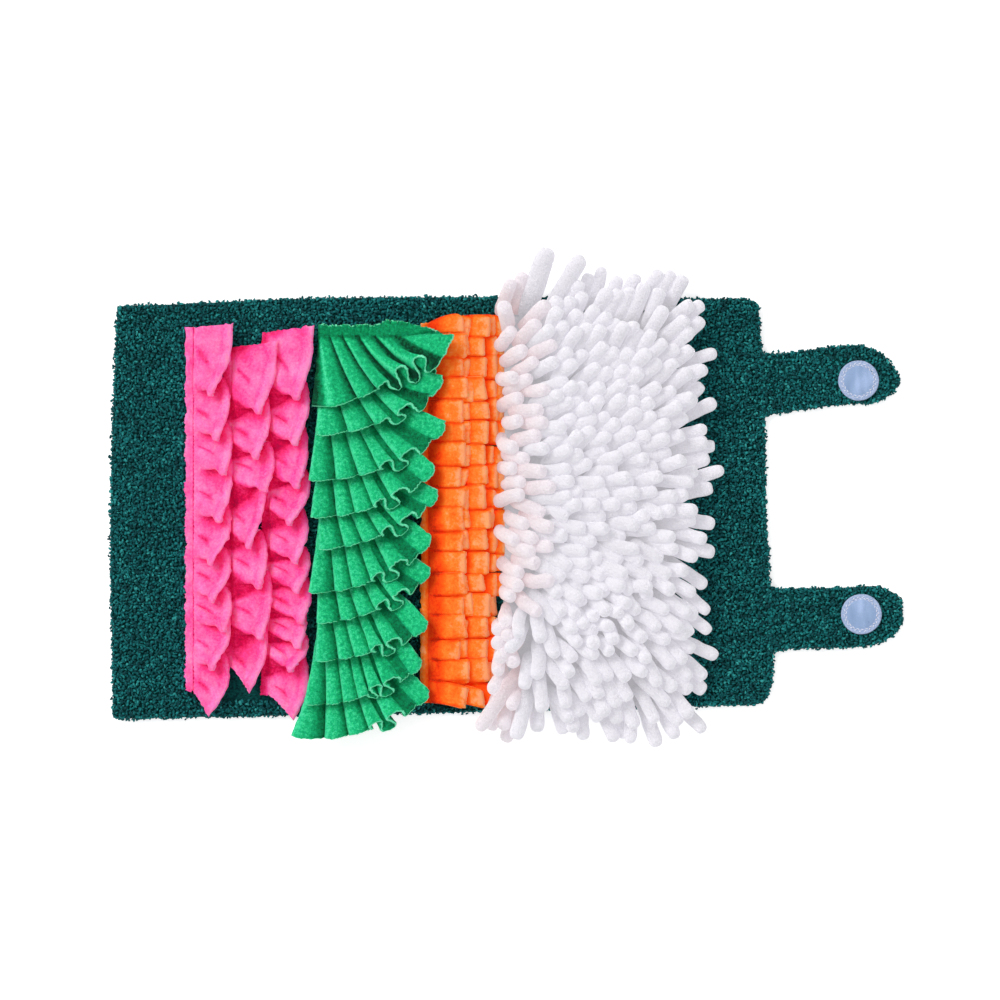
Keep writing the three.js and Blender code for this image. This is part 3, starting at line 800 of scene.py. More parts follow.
def fluted_points(row, index, us, vs):
    """A row's points. Its flutes turn into loops to the right, and into petals at its right end."""
    left, right, *_, tip_lift, _ = row
    first = index == 0
    u, v = us[:, None], vs[None, :]
    open_v, header = np.maximum(v, 0), np.maximum(-v, 0)
    standing = smooth(u, 0.18, 0.4) if first else 0
    swept = smooth(u, 0.72, 1) if first else 0
    loose = smooth(u, 0.5, 0.8) if first else 0
    looped = np.maximum(standing, smooth(u, 0.35, 0.5) * (1 - smooth(u, 0.7, 0.84)))
    drawn_in = looped * (1 - smooth(u, 0.76, 0.88))

    heading = row_heading(row, first, u, open_v)
    hung = lerp(heading, -np.pi / 2, 0.8 * standing)
    wave, aside = flute_wave(index, u, open_v, standing, looped)
    out = open_v * row_reach(index, row, u, wave, looped, drawn_in)
    pull = open_v * wave * (1.1 + 0.1 * standing) * drawn_in
    bulge = 0 if first else 5 * smooth(u, 0.78, 1) * np.sin(np.pi * open_v)
    steep = lerp(1, 1.15, u**4)
    risen = lerp(GREEN_LIFT, tip_lift, u) * (steep * open_v + (1 - steep) * open_v**2)
    ruffle = header * (0.9 * np.sin(u * 31 + index) + 0.6 * np.sin(u * 57 + 2 * index))
    flange = GREEN_FLANGE + 3.5 * loose - 9 * swept

    x = lerp(left, right, u) + 20 * swept * header + out * np.cos(heading)
    y = GREEN_FIRST - index * GREEN_PITCH + flange * header + out * np.sin(heading) + bulge
    x = x - pull * np.cos(hung) - aside * np.sin(hung)
    y = y - pull * np.sin(hung) + aside * np.cos(hung)
    z = TOP + FLEECE / 2 + GREEN_GATHER + risen + wave * (1 - 0.5 * looped) + 0.9 * header + np.abs(ruffle)
    return grid_points(x, y + 0.5 * ruffle, z + 9 * loose)


def green_painted_shading(index, us, vs):
    """Painted shade in the grooves, in the loops and along the seam, and a painted highlight on each
    flute's steep side; the first row is also a little darker all over, and more along its header.
    """
    kind = row_kind(index)
    u, v = us[:, None], vs[None, :]
    share = flute_share(index, u)
    # Painted shade in the grooves, lightened by a painted highlight on each flute's steep side.
    groove = smooth(share, 0.4, 1) ** 1.5 + (1 - smooth(share, 0.0, 0.08))
    groove = groove - 0.35 * ridge(share, 0.16, 0.08)
    groove = groove * lerp(kind["groove"], 0.2, smooth(u, 0.74, 0.86))
    loops = smooth(u, 0.64, 0.72) * (1 - smooth(u, 0.8, 0.96)) * smooth(v, 0.1, 0.5)
    deeper = 0.14 + 0.22 * (1 - smooth(v, -0.1, 0.1)) if index == 0 else 0
    return (groove + kind["shade"] * loops) * smooth(v, -0.1, 0.15) + 0.3 * ridge(v, 0, 0.05) + deeper


def green_row(index, row, rng):
    """A row of flutes, sewn down along its upper edge."""
    us = np.linspace(0, 1, 181)
    vs = [-1, -0.7, -0.4, -0.15, 0, 0.025, *np.linspace(0.06, 1, 18)]

    def place(us, vs):
        points = fluted_points(row, index, us, vs)
        u, v = us[:, None], vs[None, :]
        seam = -0.9 * ridge(v, 0, 0.03) * (1 + 0.6 * np.sin(u * 150))
        lumps = 0.5 * wander(u * 17, index) * wander(v * 7, index + 2) * smooth(v, 0, 0.3)
        points = points + facing(points) * (seam + lumps)[:, :, None]
        rough_edge(points, rng, 0.22)
        fray(points[:, 0], rng, 0.45)
        keep_above(points, TOP + FLEECE / 2)
        return points

    bm = cloth_grid(us, vs, place, lambda us, vs: green_painted_shading(index, us, vs))
    node = f"green_ruffle_{index + 1:02d}"
    piece = add_piece(flutes_name(index), bm, GREEN_CLOTH, [node], FLEECE)


def green_turning(rng):
    """The first row's end, turned under its loops and laid over the side of the orange fringe."""

    def place(us, vs):
        x, y = spread(TURNING, us, vs)
        z = TOP + 1.6 + 0.27 * (x - TURNING[0][0]) + 0.5 * wander(x * 0.4, 1) * wander(y * 0.4, 2)
        points = grid_points(x, y, z)
        rough_edge(points, rng, 0.3)
        return points

    # The turned end lies under the loops, so it gets the same painted shade all over.
    bm = cloth_grid(steps(30), steps(20), place, lambda us, vs: np.full((len(us), len(vs)), 0.5))
    piece = add_piece("green_turning", bm, GREEN_CLOTH, ["green_ruffle_01"], FLEECE)


# ---------------------------------------------------------------- orange fringes


def tab_cut(tab, stack):
    """y of the cut above a tab."""
    pitch = (ORANGE_TOP - ORANGE_BOTTOM) / TABS
    wobble = 1.3 * uneven(tab, stack + 3) if 0 < tab < TABS else 0
    return ORANGE_TOP - tab * pitch + wobble


def orange_comb(name, comb, rng):
    """A fringe of tabs, each with a length, roll and bend of its own."""
    seam, header, reach, layer, rise, droop, stack, hidden, dark, dip = comb
    across = steps(8)
    vs = [-1, -0.5, -0.1, 0, 0.04, *np.linspace(0.1, 1, 14)]
    tabs = np.repeat(np.arange(TABS), len(across))[:, None]
    shares = np.tile(across, TABS)[:, None]
    side = 2 * shares - 1
    tops = np.array([tab_cut(tab, stack) for tab in range(TABS + 1)])
    drawn = rng.normal(0, 1, (TABS, 5))[tabs[:, 0]][:, None, :]
    longer, twist, cupped, buckle, shifted = (drawn[:, :, i] for i in range(5))
    loose = 0.3 if "under" in name else 1  # the comb above holds the one under it flat
    lowest = TOP + 0.8

    def place(_, rows):
        v = rows[None, :]
        open_v = np.maximum(v, 0)
        corner = 1.1 * smooth(open_v, 0.86, 1.02) ** 2 + 0.1 * open_v
        crown = (tabs == 0) * (dip * (1 - open_v) ** 2 + 2 * smooth(open_v, 0.7, 1.02) ** 2)
        y = lerp(tops[tabs] - corner - crown, tops[tabs + 1] + SLIT + corner, shares)
        length = reach * (1 + 0.03 * uneven(tabs, stack) + 0.055 * longer - 0.03 * twist * side)
        height = rise * (1 + 0.03 * uneven(tabs, stack + 7))
        climb = height * (1 - (1 - np.minimum(open_v / 0.7, 1)) ** 2)
        drop = (droop + 0.8) * smooth(open_v, 0.7, 1.1) + 0.9 * smooth(open_v, 0.9, 1.0)
        rolled = loose * open_v * (0.8 * twist * side + (0.6 * cupped - 0.6) * side**2)
        buckled = loose * 0.5 * buckle * np.sin(3 * open_v + shifted) * open_v
        turned = np.where(tabs == TABS - 1, 4 * open_v**2, 0.7 * twist * open_v)
        x = seam + open_v * length + np.minimum(v, 0) * header
        stitched = -0.8 * ridge(v, 0, 0.05) * (1 + 0.5 * np.sin(y * 2.6))
        z = lowest + layer * LAYER_GAP + climb - drop + rolled + buckled + stitched
        points = grid_points(x, y - turned, z)
        fray(points[:, -1], rng, 0.18)
        fray(points[:, 0], rng, 0.35, 0.3)
        keep_above(points, lowest)
        return points

    def painted_shading(_, rows):
        return comb_painted_shading(side, rows, hidden, dark)

    bm = cloth_grid(np.arange(len(tabs)), vs, place, painted_shading)
    cut_slits(bm, len(across))
    name_of_tabs = name.replace("fringe", "tabs")
    piece = add_piece(name_of_tabs, bm, ORANGE_CLOTH, [name], FRINGE_FLEECE)


def comb_painted_shading(side, rows, hidden, dark):
    """Painted shade at the tabs' sides and where the next comb lies over them, a painted highlight at
    their tips, and each comb's own darkness, which below 0 is painted light.
    """
    v = rows[None, :]
    sides = np.abs(side) ** 10 * smooth(v, 0, 0.2) * (1 - smooth(v, 0.85, 1))
    root = (1 - smooth(v, hidden - 0.05, hidden + 0.25)) * smooth(v, -0.2, 0)
    tip = smooth(v, 0.75, 0.95)
    return 0.5 * sides + 0.75 * root + (dark - 0.4 * tip) * smooth(v, -0.2, 0)


def cut_slits(bm, per_tab):
    """Opens the cuts between the tabs, which are one column of faces wide, beyond the header."""
    bm.verts.index_update()
    columns = TABS * per_tab
    header_rows = 3
    doomed = []
    for face in bm.faces:
        indices = [vertex.index for vertex in face.verts]
        column = min(i % columns for i in indices)
        row = min(i // columns for i in indices)
        if column % per_tab == per_tab - 1 and row >= header_rows:
            doomed.append(face)
    bmesh.ops.delete(bm, geom=doomed, context="FACES")


# ---------------------------------------------------------------- chenille fingers


def edge_distance(x, y):
    """How far a point lies inside the edges of the field."""
    across = np.minimum(x - FIELD_X[0], FIELD_X[1] - x)
    return np.minimum(across, np.minimum(y - FIELD_Y[0], FIELD_Y[1] - y))


def matted_height(x, y):
    """How high the fingers' matted lower halves reach above the mat: a low, lumpy dome."""
    share = np.clip((edge_distance(x, y) - 1) / 18, 0, 1)
    lumps = 1.2 * wander(x * 0.4, 1) * wander(y * 0.4, 2)
    return (MATTED + lumps) * np.sqrt(share * (2 - share))


def lean_field(x, y):
    """How far a finger rooted at x, y leans along x and y, where 1 is flat."""
    ys, left, middle, right, left_lean = np.array(BRUSHED).T
    heading = lerp(np.interp(y, ys, left), np.interp(y, ys, middle), smooth(x, 50, 72))
    heading = np.radians(lerp(heading, np.interp(y, ys, right), smooth(x, 118, 149)))
    middle_x, middle_y, reach = STEEPEST
    steep = np.exp(-((x - middle_x) ** 2 + (y - middle_y) ** 2) / reach**2)
    lean = lerp(np.interp(y, ys, left_lean), 0.84 - 0.6 * steep, smooth(x, 46, 60))
    return np.stack([lean * np.cos(heading), lean * np.sin(heading)], axis=-1)


def finger_roots(rng):
    """Roots in staggered rows, with the lean, length and radius of each finger."""
    grid_x, grid_y = np.meshgrid(np.linspace(*FIELD_X, FIELD_COLUMNS), np.linspace(*FIELD_Y, FIELD_ROWS))
    grid_x = grid_x + np.where(np.arange(FIELD_ROWS) % 2 == 0, 2.6, -2.6)[:, None]
    roots = np.stack([grid_x.ravel(), grid_y.ravel()], axis=1)
    count = len(roots)
    roots += rng.normal(0, 1.2, roots.shape)
    lean = lean_field(roots[:, 0], roots[:, 1]) + rng.normal(0, 0.14, (count, 2))
    upright = 1 - np.linalg.norm(lean, axis=1)
    lengths = FINGER_LENGTH * rng.uniform(0.88, 1.12, count) * (1 - 0.25 * np.clip(upright, 0, 1))
    radii = FINGER_RADIUS * rng.uniform(0.92, 1.08, count)
    for x, y, along, across, length, radius in LONG_FINGERS:
        nearest = np.argmin(np.hypot(roots[:, 0] - x, roots[:, 1] - y))
        roots[nearest], lean[nearest] = (x, y), (along, across)
        lengths[nearest], radii[nearest] = length, radius
    return roots, lean, lengths, radii


def finger_paths(rng):
    """Lets the fingers lean the way they were brushed, on the matted dome and on each other."""
    roots, lean, lengths, radii = finger_roots(rng)
    count = len(roots)
    size = np.clip(np.linalg.norm(lean, axis=1), 1e-6, 0.93)
    lean *= (size / np.maximum(np.linalg.norm(lean, axis=1), 1e-6))[:, None]
    direction = np.concatenate([lean, np.sqrt(1 - size**2)[:, None]], axis=1)
    link = lengths / (FINGER_JOINTS - 1)
    joints = np.arange(FINGER_JOINTS)
    sunk = np.maximum(matted_height(roots[:, 0], roots[:, 1]) - 4, 1)
    base = np.concatenate([roots, (TOP + sunk)[:, None]], axis=1)
    points = base[:, None, :] + direction[:, None, :] * joints[None, :, None] * link[:, None, None]
    owner = np.repeat(np.arange(count), FINGER_JOINTS)
    for _ in range(SETTLINGS):
        wanted = points[:, :-1] + direction[:, None, :] * link[:, None, None]
        points[:, 1:] += SPRING * (wanted - points[:, 1:])
        points[:, 1:, 2] -= SAG
        push_apart(points, owner, FINGER_APART)
        hold_links(points, base, link)
        beside = points[:, :, 1] > FRINGE_SIDE[1]
        points[:, :, 0] = np.where(beside, np.maximum(points[:, :, 0], FRINGE_SIDE[0]), points[:, :, 0])
        matted = matted_height(points[:, 1:, 0], points[:, 1:, 1])
        lowest = TOP + np.maximum(matted + 1, 0.8 * radii[:, None])
        points[:, 1:, 2] = np.maximum(points[:, 1:, 2], lowest)
    return points, radii


def push_apart(points, owner, apart):
    """Moves joints of different fingers that are closer than apart away from each other."""
    flat = points.reshape(-1, 3)
    order = np.argsort(flat[:, 1], kind="stable")
    moved = np.zeros_like(flat)
    counts = np.zeros(len(flat))
    for step in range(1, 90):
        a, b = order[:-step], order[step:]
        near = flat[b, 1] - flat[a, 1] < apart
        if not near.any():
            break
        a, b = a[near], b[near]
        gap = flat[b] - flat[a]
        distance = np.maximum(np.linalg.norm(gap, axis=1), 1e-6)
        touching = (distance < apart) & (owner[a] != owner[b])
        a, b = a[touching], b[touching]
        shift = gap[touching] * (0.5 * (apart - distance[touching]) / distance[touching])[:, None]
        np.add.at(moved, a, -shift)
        np.add.at(moved, b, shift)
        np.add.at(counts, a, 1)
        np.add.at(counts, b, 1)
    flat += moved / np.maximum(counts, 1)[:, None] ** 0.7
    points[:] = flat.reshape(points.shape)


def hold_links(points, base, link):
    """Keeps the roots where they are sewn, and the joints of a finger one link apart."""
    points[:, 0] = base
    for _ in range(3):
        for joint in range(1, points.shape[1]):
            gap = points[:, joint] - points[:, joint - 1]
            distance = np.maximum(np.linalg.norm(gap, axis=1), 1e-6)
            points[:, joint] = points[:, joint - 1] + gap * (link / distance)[:, None]


def finger_template():
    """A knobbly finger along +Z, from 0 to 1 and of radius about 1, with rounded ends."""
    bm = bmesh.new()
    bmesh.ops.create_circle(bm, segments=8, radius=0.75)
    start = bm.verts[:]
    edges = bm.edges[:]
    profile = [
        (0.05, 0.95), (0.2, 1.03), (0.34, 0.97), (0.5, 1.04),
        (0.64, 0.98), (0.78, 1.03), (0.9, 0.98), (0.965, 0.76),
    ]
    for height, radius in profile:
        made = bmesh.ops.extrude_edge_only(bm, edges=edges)["geom"]
        edges = only(bmesh.types.BMEdge, made)
        for vertex in only(bmesh.types.BMVert, made):
            flat = Vector((vertex.co.x, vertex.co.y)).normalized() * radius
            vertex.co = (flat.x, flat.y, height)
    bmesh.ops.contextual_create(bm, geom=start)
    tip = bmesh.ops.extrude_edge_only(bm, edges=edges)["geom"]
    bmesh.ops.pointmerge(bm, verts=only(bmesh.types.BMVert, tip), merge_co=(0, 0, 1))
    face_outwards(bm)
    return bm


def template_arrays(bm):
    """A template as an array of points and a list of faces, as indices."""
    bm.verts.index_update()
    points = np.array([vertex.co for vertex in bm.verts])
    faces = [[vertex.index for vertex in face.verts] for face in bm.faces]
    bm.free()
    return points, faces


def joined_copies(copies, faces, tones=None):
    """One bmesh of many copies of a template, each given by its own points and their tones: the curls'
    own tones, or for the chenille fingers the painted shade that darkens them toward their roots.
    """
    mesh = bpy.data.meshes.new("copies")
    size = copies.shape[1]
    offsets = np.arange(len(copies)) * size
    all_faces = [[index + offset for index in face] for offset in offsets.tolist() for face in faces]
    mesh.from_pydata(copies.reshape(-1, 3).tolist(), [], all_faces)
    if tones is not None:
        tone = mesh.attributes.new("tone", "FLOAT", "POINT")
        tone.data.foreach_set("value", tones.ravel().astype(np.float32))
    bm = bmesh.new()
    bm.from_mesh(mesh)
    bpy.data.meshes.remove(mesh)
    return bm


def bent_copies(template, paths, radii):
    """The template's points bent along each path, a smooth curve through its joints."""
    heights, sides = template[:, 2], template[:, :2]
    count, joints, _ = paths.shape
    t = heights * (joints - 1)
    joint = np.minimum(t.astype(int), joints - 2)
    f = (t - joint)[None, :, None]
    start, end = 2 * paths[:, :1] - paths[:, 1:2], 2 * paths[:, -1:] - paths[:, -2:-1]
    padded = np.concatenate([start, paths, end], axis=1)
    p0, p1, p2, p3 = (padded[:, joint + k] for k in range(4))
    squared = 2 * p0 - 5 * p1 + 4 * p2 - p3
    cubed = 3 * p1 - p0 - 3 * p2 + p3
    centre = 0.5 * (2 * p1 + (p2 - p0) * f + squared * f**2 + cubed * f**3)
    tangent = unit(0.5 * ((p2 - p0) + 2 * squared * f + 3 * cubed * f**2))
    chord = paths[:, -1] - paths[:, 0]
    level = np.stack([-chord[:, 1], chord[:, 0], np.full(count, 1e-3)], axis=1)[:, None, :]
    aside = unit(level - tangent * np.sum(level * tangent, axis=2, keepdims=True))
    other = np.cross(tangent, aside)
    width = radii[:, None, None]
    return centre + width * (sides[None, :, :1] * aside + sides[None, :, 1:] * other)


def add_chenille(name, bm, material=CHENILLE, thick=0):
    return add_piece(name, bm, [material], ["white_chenille"], thick)


def chenille_field(rng):
    """The fingers: three pieces from the bottom up, and a fourth of those near the orange fringe,
    tinted pink as a painted reflection of it.
    """
    paths, radii = finger_paths(rng)
    template, faces = template_arrays(finger_template())
    copies = bent_copies(template, paths, radii)
    copies += rng.normal(0, 0.3, copies.shape)
    orange_lit = (paths[:, 0, 0] < FIELD_X[0] + ORANGE_REFLECTION) & (radii < 1.2 * FINGER_RADIUS)
    order = np.argsort(paths[:, 0, 1], kind="stable")
    order = order[~orange_lit[order]]
    parts = [(CHENILLE, part) for part in np.array_split(order, 3)]
    parts.append((ORANGE_LIT_CHENILLE, np.flatnonzero(orange_lit)))
    for number, (material, part) in enumerate(parts):
        # Each point's tone is how far up its finger it lies, which the material turns into painted shade
        # toward the roots.
        bm = joined_copies(copies[part], faces, np.tile(template[:, 2], len(part)))
        piece = add_chenille(f"chenille_fingers_{number + 1}", bm, material)
        rounding = piece.modifiers.new("rounding", "SUBSURF")
        rounding.levels = rounding.render_levels = 1


def chenille_fill():
    """The matted lower halves of the fingers, as one lumpy dome that closes the gaps between them.

    It carries no tone, so it takes the fingers' darkest root colour: painted shade in the gaps.
    """
    corners = (FIELD_X[0], FIELD_Y[0]), (FIELD_X[1], FIELD_Y[1])

    def place(us, vs):
        x, y = spread(corners, us, vs)
        return grid_points(x, y, TOP + 0.6 + matted_height(x, y))

    bm = cloth_grid(steps(60), steps(140), place)
    close_rim(bm)
    face_outwards(bm)
    add_chenille("chenille_fill", bm)


def chenille_backing():
    """The cloth that the fingers are sewn to, a little wider than their roots, in the painted shade
    of the roots, since it carries no tone.
    """
    corners = (FIELD_X[0] + 1, FIELD_Y[0] - 5), (FIELD_X[1] + 2, FIELD_Y[1] + 2)

    def place(us, vs):
        x, y = spread(corners, us, vs)
        return grid_points(x, y, TOP + 1 + 0.2 * wander(x * 0.2, 1) * wander(y * 0.2, 2))

    piece = add_chenille("chenille_backing", cloth_grid(steps(24), steps(52), place), thick=1)


# ---------------------------------------------------------------- mat and straps


def rounded_outline(corners, per_corner=5):
    """Points round an outline whose corners are each rounded off by their own amount."""
    outline = []
    for i, (x, y, cut) in enumerate(corners):
        here = Vector((x, y))
        before = Vector(corners[i - 1][:2])
        after = Vector(corners[(i + 1) % len(corners)][:2])
        start = here + (before - here).normalized() * cut
        end = here + (after - here).normalized() * cut
        outline.extend(arc(start, here, end, per_corner))
    return outline


def strap_outline(strap):
    """Points round a strap: root, sides and the drawn-in end."""
    side, reach = strap["shoulder"] / 2, strap["reach"]
    blunt, bend = side * strap["tip"], reach - STRAP_END * 0.3

    def at(along, aside):
        bow = strap["bow"] * math.sin(math.pi * min(along / reach, 1) ** 1.6)
        return Vector(strap_place(strap, along, aside + bow))

    def root(aside):
        y = strap["y"] + aside
        return Vector((right_edge(y) - 1.5, y))

    half = strap["root"] / 2
    along_side = (0.25, 0.5, 0.75)
    return [
        *arc(root(-half), at(STRAP_NECK * 0.4, -side), at(STRAP_NECK, -side), 6),
        *(at(lerp(STRAP_NECK, reach - STRAP_END, share), -side) for share in along_side),
        *arc(at(reach - STRAP_END, -side), at(bend, -side), at(reach, -blunt), 6),
        *arc(at(reach, -blunt), at(reach + 1, 0), at(reach, blunt), 6)[1:],
        *arc(at(reach, blunt), at(bend, side), at(reach - STRAP_END, side), 6)[1:],
        *(at(lerp(STRAP_NECK, reach - STRAP_END, share), side) for share in reversed(along_side)),
        *arc(at(STRAP_NECK, side), at(STRAP_NECK * 0.4, side), root(half), 6),
    ]


def ground_cloth(name, outline, thick):
    """The knitted ground that the pile stands in: a plain panel a little inside the outline."""
    bm = bmesh.new()
    ring = [bm.verts.new((point.x, point.y, 0)) for point in outline]
    face = bm.faces.new(ring)
    if face.normal.z < 0:
        face.normal_flip()
    bmesh.ops.inset_region(bm, faces=[face], thickness=1.2)
    inner = max(bm.faces, key=lambda f: f.calc_area())
    rim = [f for f in bm.faces if f is not inner]
    bmesh.ops.delete(bm, geom=rim, context="FACES")
    raised = bmesh.ops.extrude_face_region(bm, geom=[inner])["geom"]
    bmesh.ops.translate(bm, verts=only(bmesh.types.BMVert, raised), vec=(0, 0, thick))
    edges = [edge for edge in bm.edges if abs(edge.verts[0].co.z - edge.verts[1].co.z) < 1e-6]
    bmesh.ops.bevel(bm, geom=edges, offset=1.2, segments=2, profile=0.5, affect="EDGES", material=-1)
    face_outwards(bm)
    piece = add_piece(name, bm, [PILE_GROUND], [name.replace("_base", "")])


def curl_template():
    """A curl of yarn: a tube of three sides, spun a little over half a turn and closed."""
    bm = bmesh.new()
    middle = (0, 0, 0)
    upright = Matrix.Rotation(math.pi / 2, 3, "X")
    bmesh.ops.create_circle(bm, segments=3, radius=0.85)
    bmesh.ops.rotate(bm, verts=bm.verts[:], cent=middle, matrix=upright)
    bmesh.ops.translate(bm, verts=bm.verts[:], vec=(1, 0, 0))
    start = bm.verts[:]
    tube = bm.verts[:] + bm.edges[:]
    turn = math.radians(200)
    spun = bmesh.ops.spin(bm, geom=tube, cent=middle, axis=(0, 0, 1), angle=turn, steps=4)
    for ring in (start, only(bmesh.types.BMVert, spun["geom_last"])):
        centre = sum((vertex.co for vertex in ring), Vector()) / len(ring)
        bmesh.ops.pointmerge(bm, verts=ring, merge_co=centre)
    face_outwards(bm)
    bmesh.ops.rotate(bm, verts=bm.verts[:], cent=middle, matrix=upright)
    return bm


def inside(outline, x, y):
    """Which of the points x, y lie inside an outline."""
    within = np.zeros(len(x), bool)
    for i, here in enumerate(outline):
        before = outline[i - 1]
        crosses = (here.y > y) != (before.y > y)
        rise = before.y - here.y if before.y != here.y else 1e-9
        at = (before.x - here.x) * (y - here.y) / rise + here.x
        within ^= crosses & (x < at)
    return within


def pile_spots(outline, pitch, rng):
    """Jittered places for curls inside an outline, but where other pieces cover the pile."""
    low_x, high_x = min(p.x for p in outline), max(p.x for p in outline)
    low_y, high_y = min(p.y for p in outline), max(p.y for p in outline)
    xs, ys = np.meshgrid(np.arange(low_x, high_x, pitch), np.arange(low_y, high_y, pitch))
    x = xs.ravel() + rng.uniform(-0.6, 0.6, xs.size) * pitch
    y = ys.ravel() + rng.uniform(-0.6, 0.6, ys.size) * pitch
    shown = inside(outline, x, y)
    for low_x, high_x, low_y, high_y in COVERED:
        shown &= ~((x > low_x) & (x < high_x) & (y > low_y) & (y < high_y))
    return np.stack([x[shown], y[shown]], axis=1)


def edge_spots(outline, pitch, rng):
    """Places along an outline, with the direction that points out of it."""
    spots, outwards = [], []
    for i, here in enumerate(outline):
        before = outline[i - 1]
        gap = here - before
        count = max(1, round(gap.length / pitch))
        for share in (np.arange(count) + 0.5) / count:
            spots.append(before.lerp(here, share))
            outwards.append(Vector((gap.y, -gap.x)).normalized())
    outwards = np.array(outwards)
    spots = np.array(spots) + rng.normal(0, 0.4, (len(spots), 2))
    return spots, outwards


def turned_copies(template, spots, sizes, turns, tilts, rolls):
    """Copies of a template at spots, each scaled, rolled, tilted and turned by its own amount."""
    points = template[None] * sizes[:, None, None]
    for axis_a, axis_b, angles in ((0, 1, rolls), (1, 2, tilts), (0, 1, turns)):
        a, b = points[:, :, axis_a].copy(), points[:, :, axis_b].copy()
        cos, sin = np.cos(angles)[:, None], np.sin(angles)[:, None]
        points[:, :, axis_a], points[:, :, axis_b] = a * cos - b * sin, a * sin + b * cos
    return points + spots[:, None, :]


def add_pile(name, outline, thick, node, rng, parts=1):
    """Curls over a panel and round its edge, each with a size, turn, tilt and tone of its own."""
    template, faces = template_arrays(curl_template())
    flat = pile_spots(outline, CURL_PITCH, rng)
    rims, outwards = edge_spots(outline, CURL_PITCH * 0.62, rng)
    heights = thick - 1.5 + rng.normal(0, 0.55, len(flat))
    rim_heights = rng.uniform(1.2, thick - 1.4, len(rims))
    rims = rims + outwards * rng.normal(-0.5, 0.55, len(rims))[:, None]
    spots = np.concatenate([np.column_stack([flat, heights]), np.column_stack([rims, rim_heights])])
    count = len(spots)
    sizes = rng.uniform(0.7, 1.15, count)
    turns, rolls = rng.uniform(0, 2 * np.pi, (2, count))
    tilts = rng.normal(0, 0.7, count)
    copies = turned_copies(template, spots, sizes, turns, tilts, rolls)
    copies[:, :, 2] = np.maximum(copies[:, :, 2], 0.1)
    tones = np.clip(rng.normal(0.5, 0.3, count), 0, 1)
    order = np.argsort(spots[:, 0], kind="stable")
    for number, part in enumerate(np.array_split(order, parts)):
        bm = joined_copies(copies[part], faces, np.repeat(tones[part], len(template)))
        add_piece(f"{name}_{number + 1}", bm, [CURLY_PILE], [node])


# ---------------------------------------------------------------- tape rounds


def tape_round(name, strap_name, rng):
    """A round of looped tape: a spun section, a little buckled, with its ring of stitches."""
    x, y = tape_centre(strap_name)
    bm = bmesh.new()
    points = [bm.verts.new((radius, 0, height)) for radius, height in TAPE_PROFILE]
    section = points + [bm.edges.new(pair) for pair in zip(points, points[1:])]
    spin = dict(cent=(0, 0, 0), axis=(0, 0, 1), angle=2 * math.pi, steps=56, use_merge=True)
    bmesh.ops.spin(bm, geom=section, **spin)
    bmesh.ops.remove_doubles(bm, verts=bm.verts[:], dist=0.001)
    close_rim(bm)
    for vertex in bm.verts:
        angle = math.atan2(vertex.co.y, vertex.co.x)
        out = vertex.co.xy.length / TAPE_RADIUS
        vertex.co.xy *= 1 + 0.012 * float(wander(angle * 2, 1)) * out
        if vertex.co.z > 0.3:
            buckled = 0.25 * math.sin(vertex.co.x * 0.45 + 1) * (1 - out**2)
            vertex.co.z += buckled + 0.12 * math.sin(angle * 13) * out**3
    for face in bm.faces:
        face.material_index = int(face.calc_center_median().xy.length > RIM_FROM)
    face_outwards(bm)
    bmesh.ops.translate(bm, verts=bm.verts[:], vec=(x, y, STRAP_THICK + 0.3))
    add_piece(name + "_cloth", bm, [TAPE, TAPE_RIM], [name])
    stitch_ring(name, (x, y), rng)


def stitch_ring(name, centre, rng):
    """Zigzag stitches round a tape round, each a short bead of thread."""
    bm = bmesh.new()
    bmesh.ops.create_icosphere(bm, subdivisions=1, radius=1)
    template, faces = template_arrays(bm)
    number = np.arange(STITCHES)
    angles = (number + 0.5) / STITCHES * 2 * np.pi
    zigzag = np.where(number % 2 == 0, 1, -1)
    radii = STITCH_RADIUS + 0.5 * zigzag + rng.normal(0, 0.1, STITCHES)
    x, y = centre[0] + radii * np.cos(angles), centre[1] + radii * np.sin(angles)
    spots = np.column_stack([x, y, np.full(STITCHES, STRAP_THICK + 1.5)])
    slants = angles + np.pi / 2 + 0.55 * zigzag
    beads = template * (1.05, 0.27, 0.3)
    level = np.zeros(STITCHES)
    copies = turned_copies(beads, spots, np.ones(STITCHES), slants, level, level)
    add_piece(name + "_stitches", joined_copies(copies, faces), [TAPE_THREAD], [name])


# ---------------------------------------------------------------- floor, light and camera


def add_floor():
    """A white floor that looks a little brighter to the camera than the light makes it."""
    bm = bmesh.new()
    bmesh.ops.create_grid(bm, x_segments=1, y_segments=1, size=4)
    mesh = bpy.data.meshes.new("floor")
    bm.to_mesh(mesh)
    bm.free()
    floor = add_object("floor", mesh)
    floor.location = (0, 0, -0.0006)
    white = Shader("white_floor", 0.9, 0)
    white.set("Base Color", (0.9, 0.9, 0.9, 1))
    white.set("Emission Color", (1, 1, 1, 1))
    rays = white.tree.nodes.new("ShaderNodeLightPath")
    glow = white.math("MULTIPLY", rays.outputs["Is Camera Ray"], 0.55)
    white.link(glow, white.shader.inputs["Emission Strength"])
    mesh.materials.append(white.material)


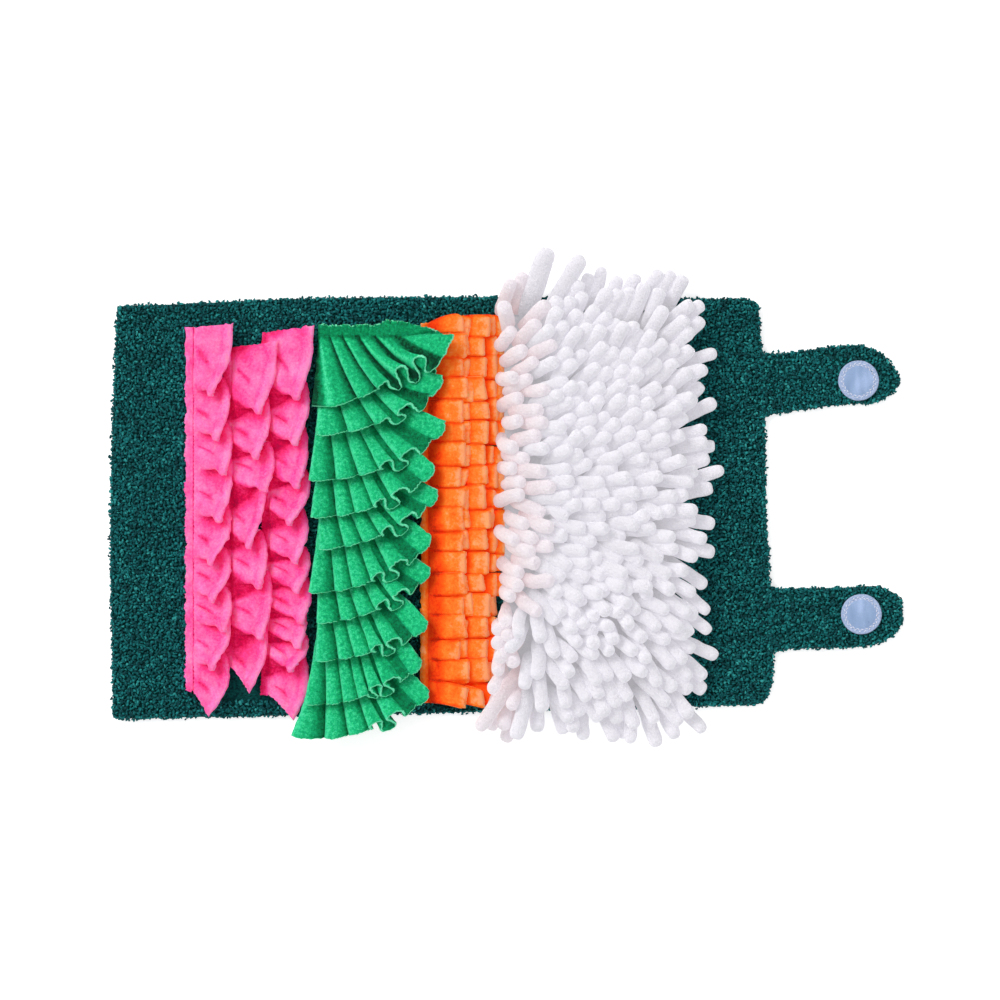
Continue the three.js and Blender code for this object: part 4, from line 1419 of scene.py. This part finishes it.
def add_light():
    """A pale, even world, with a soft key lamp and a weak fill."""
    world = bpy.data.worlds.new("studio")
    world.use_nodes = True
    background = world.node_tree.nodes["Background"]
    background.inputs["Color"].default_value = (0.97, 0.985, 1, 1)
    background.inputs["Strength"].default_value = 0.62
    bpy.context.scene.world = world
    lamps = {  # strength, spread in degrees, and tilts about x and y in degrees
        "key": (1.75, 28, (-26, -38)),
        "fill": (0.25, 60, (20, 40)),
    }
    for name, (strength, soft, (turn_x, turn_y)) in lamps.items():
        lamp = bpy.data.lights.new(name, "SUN")
        lamp.energy = strength
        lamp.angle = math.radians(soft)
        lamp.color = (1, 0.985, 0.96)
        holder = add_object(name, lamp)
        holder.rotation_euler = (math.radians(turn_x), math.radians(turn_y), 0)


def add_camera():
    """A long lens, straight above."""
    lens = bpy.data.cameras.new("camera")
    lens.sensor_width = 36
    lens.lens = 36 * PICTURE["distance"] / PICTURE["width"]
    lens.clip_end = 20
    camera = add_object("camera", lens)
    x, y = PICTURE["middle"]
    camera.location = (x * MM + SHIFT.x, y * MM + SHIFT.y, (PICTURE["distance"] + 12) * MM)
    bpy.context.scene.camera = camera


# ---------------------------------------------------------------- the toy


def build():
    add_camera()
    add_floor()
    rng = np.random.default_rng(7)
    mat = rounded_outline(MAT_OUTLINE)
    ground_cloth("mat_base", mat, MAT_GROUND)
    add_pile("mat_pile", mat, MAT_THICK, "mat", rng, parts=4)
    for name, strap in STRAPS.items():
        outline = strap_outline(strap)
        ground_cloth(name + "_base", outline, STRAP_GROUND)
        add_pile(name + "_pile", outline, STRAP_THICK, name, rng)
    tape_round("tape_round_upper", "strap_upper", rng)
    tape_round("tape_round_lower", "strap_lower", rng)
    for name, strip in PINK_STRIPS.items():
        pink_strip(name, strip, rng)
    for index, row in enumerate(GREEN_ROWS):
        green_row(index, row, rng)
    green_turning(rng)
    for name, comb in ORANGE_COMBS.items():
        orange_comb(name, comb, rng)
    chenille_backing()
    chenille_field(rng)
    chenille_fill()
    add_light()


build()
bpy.context.scene.view_settings.view_transform = "Standard"
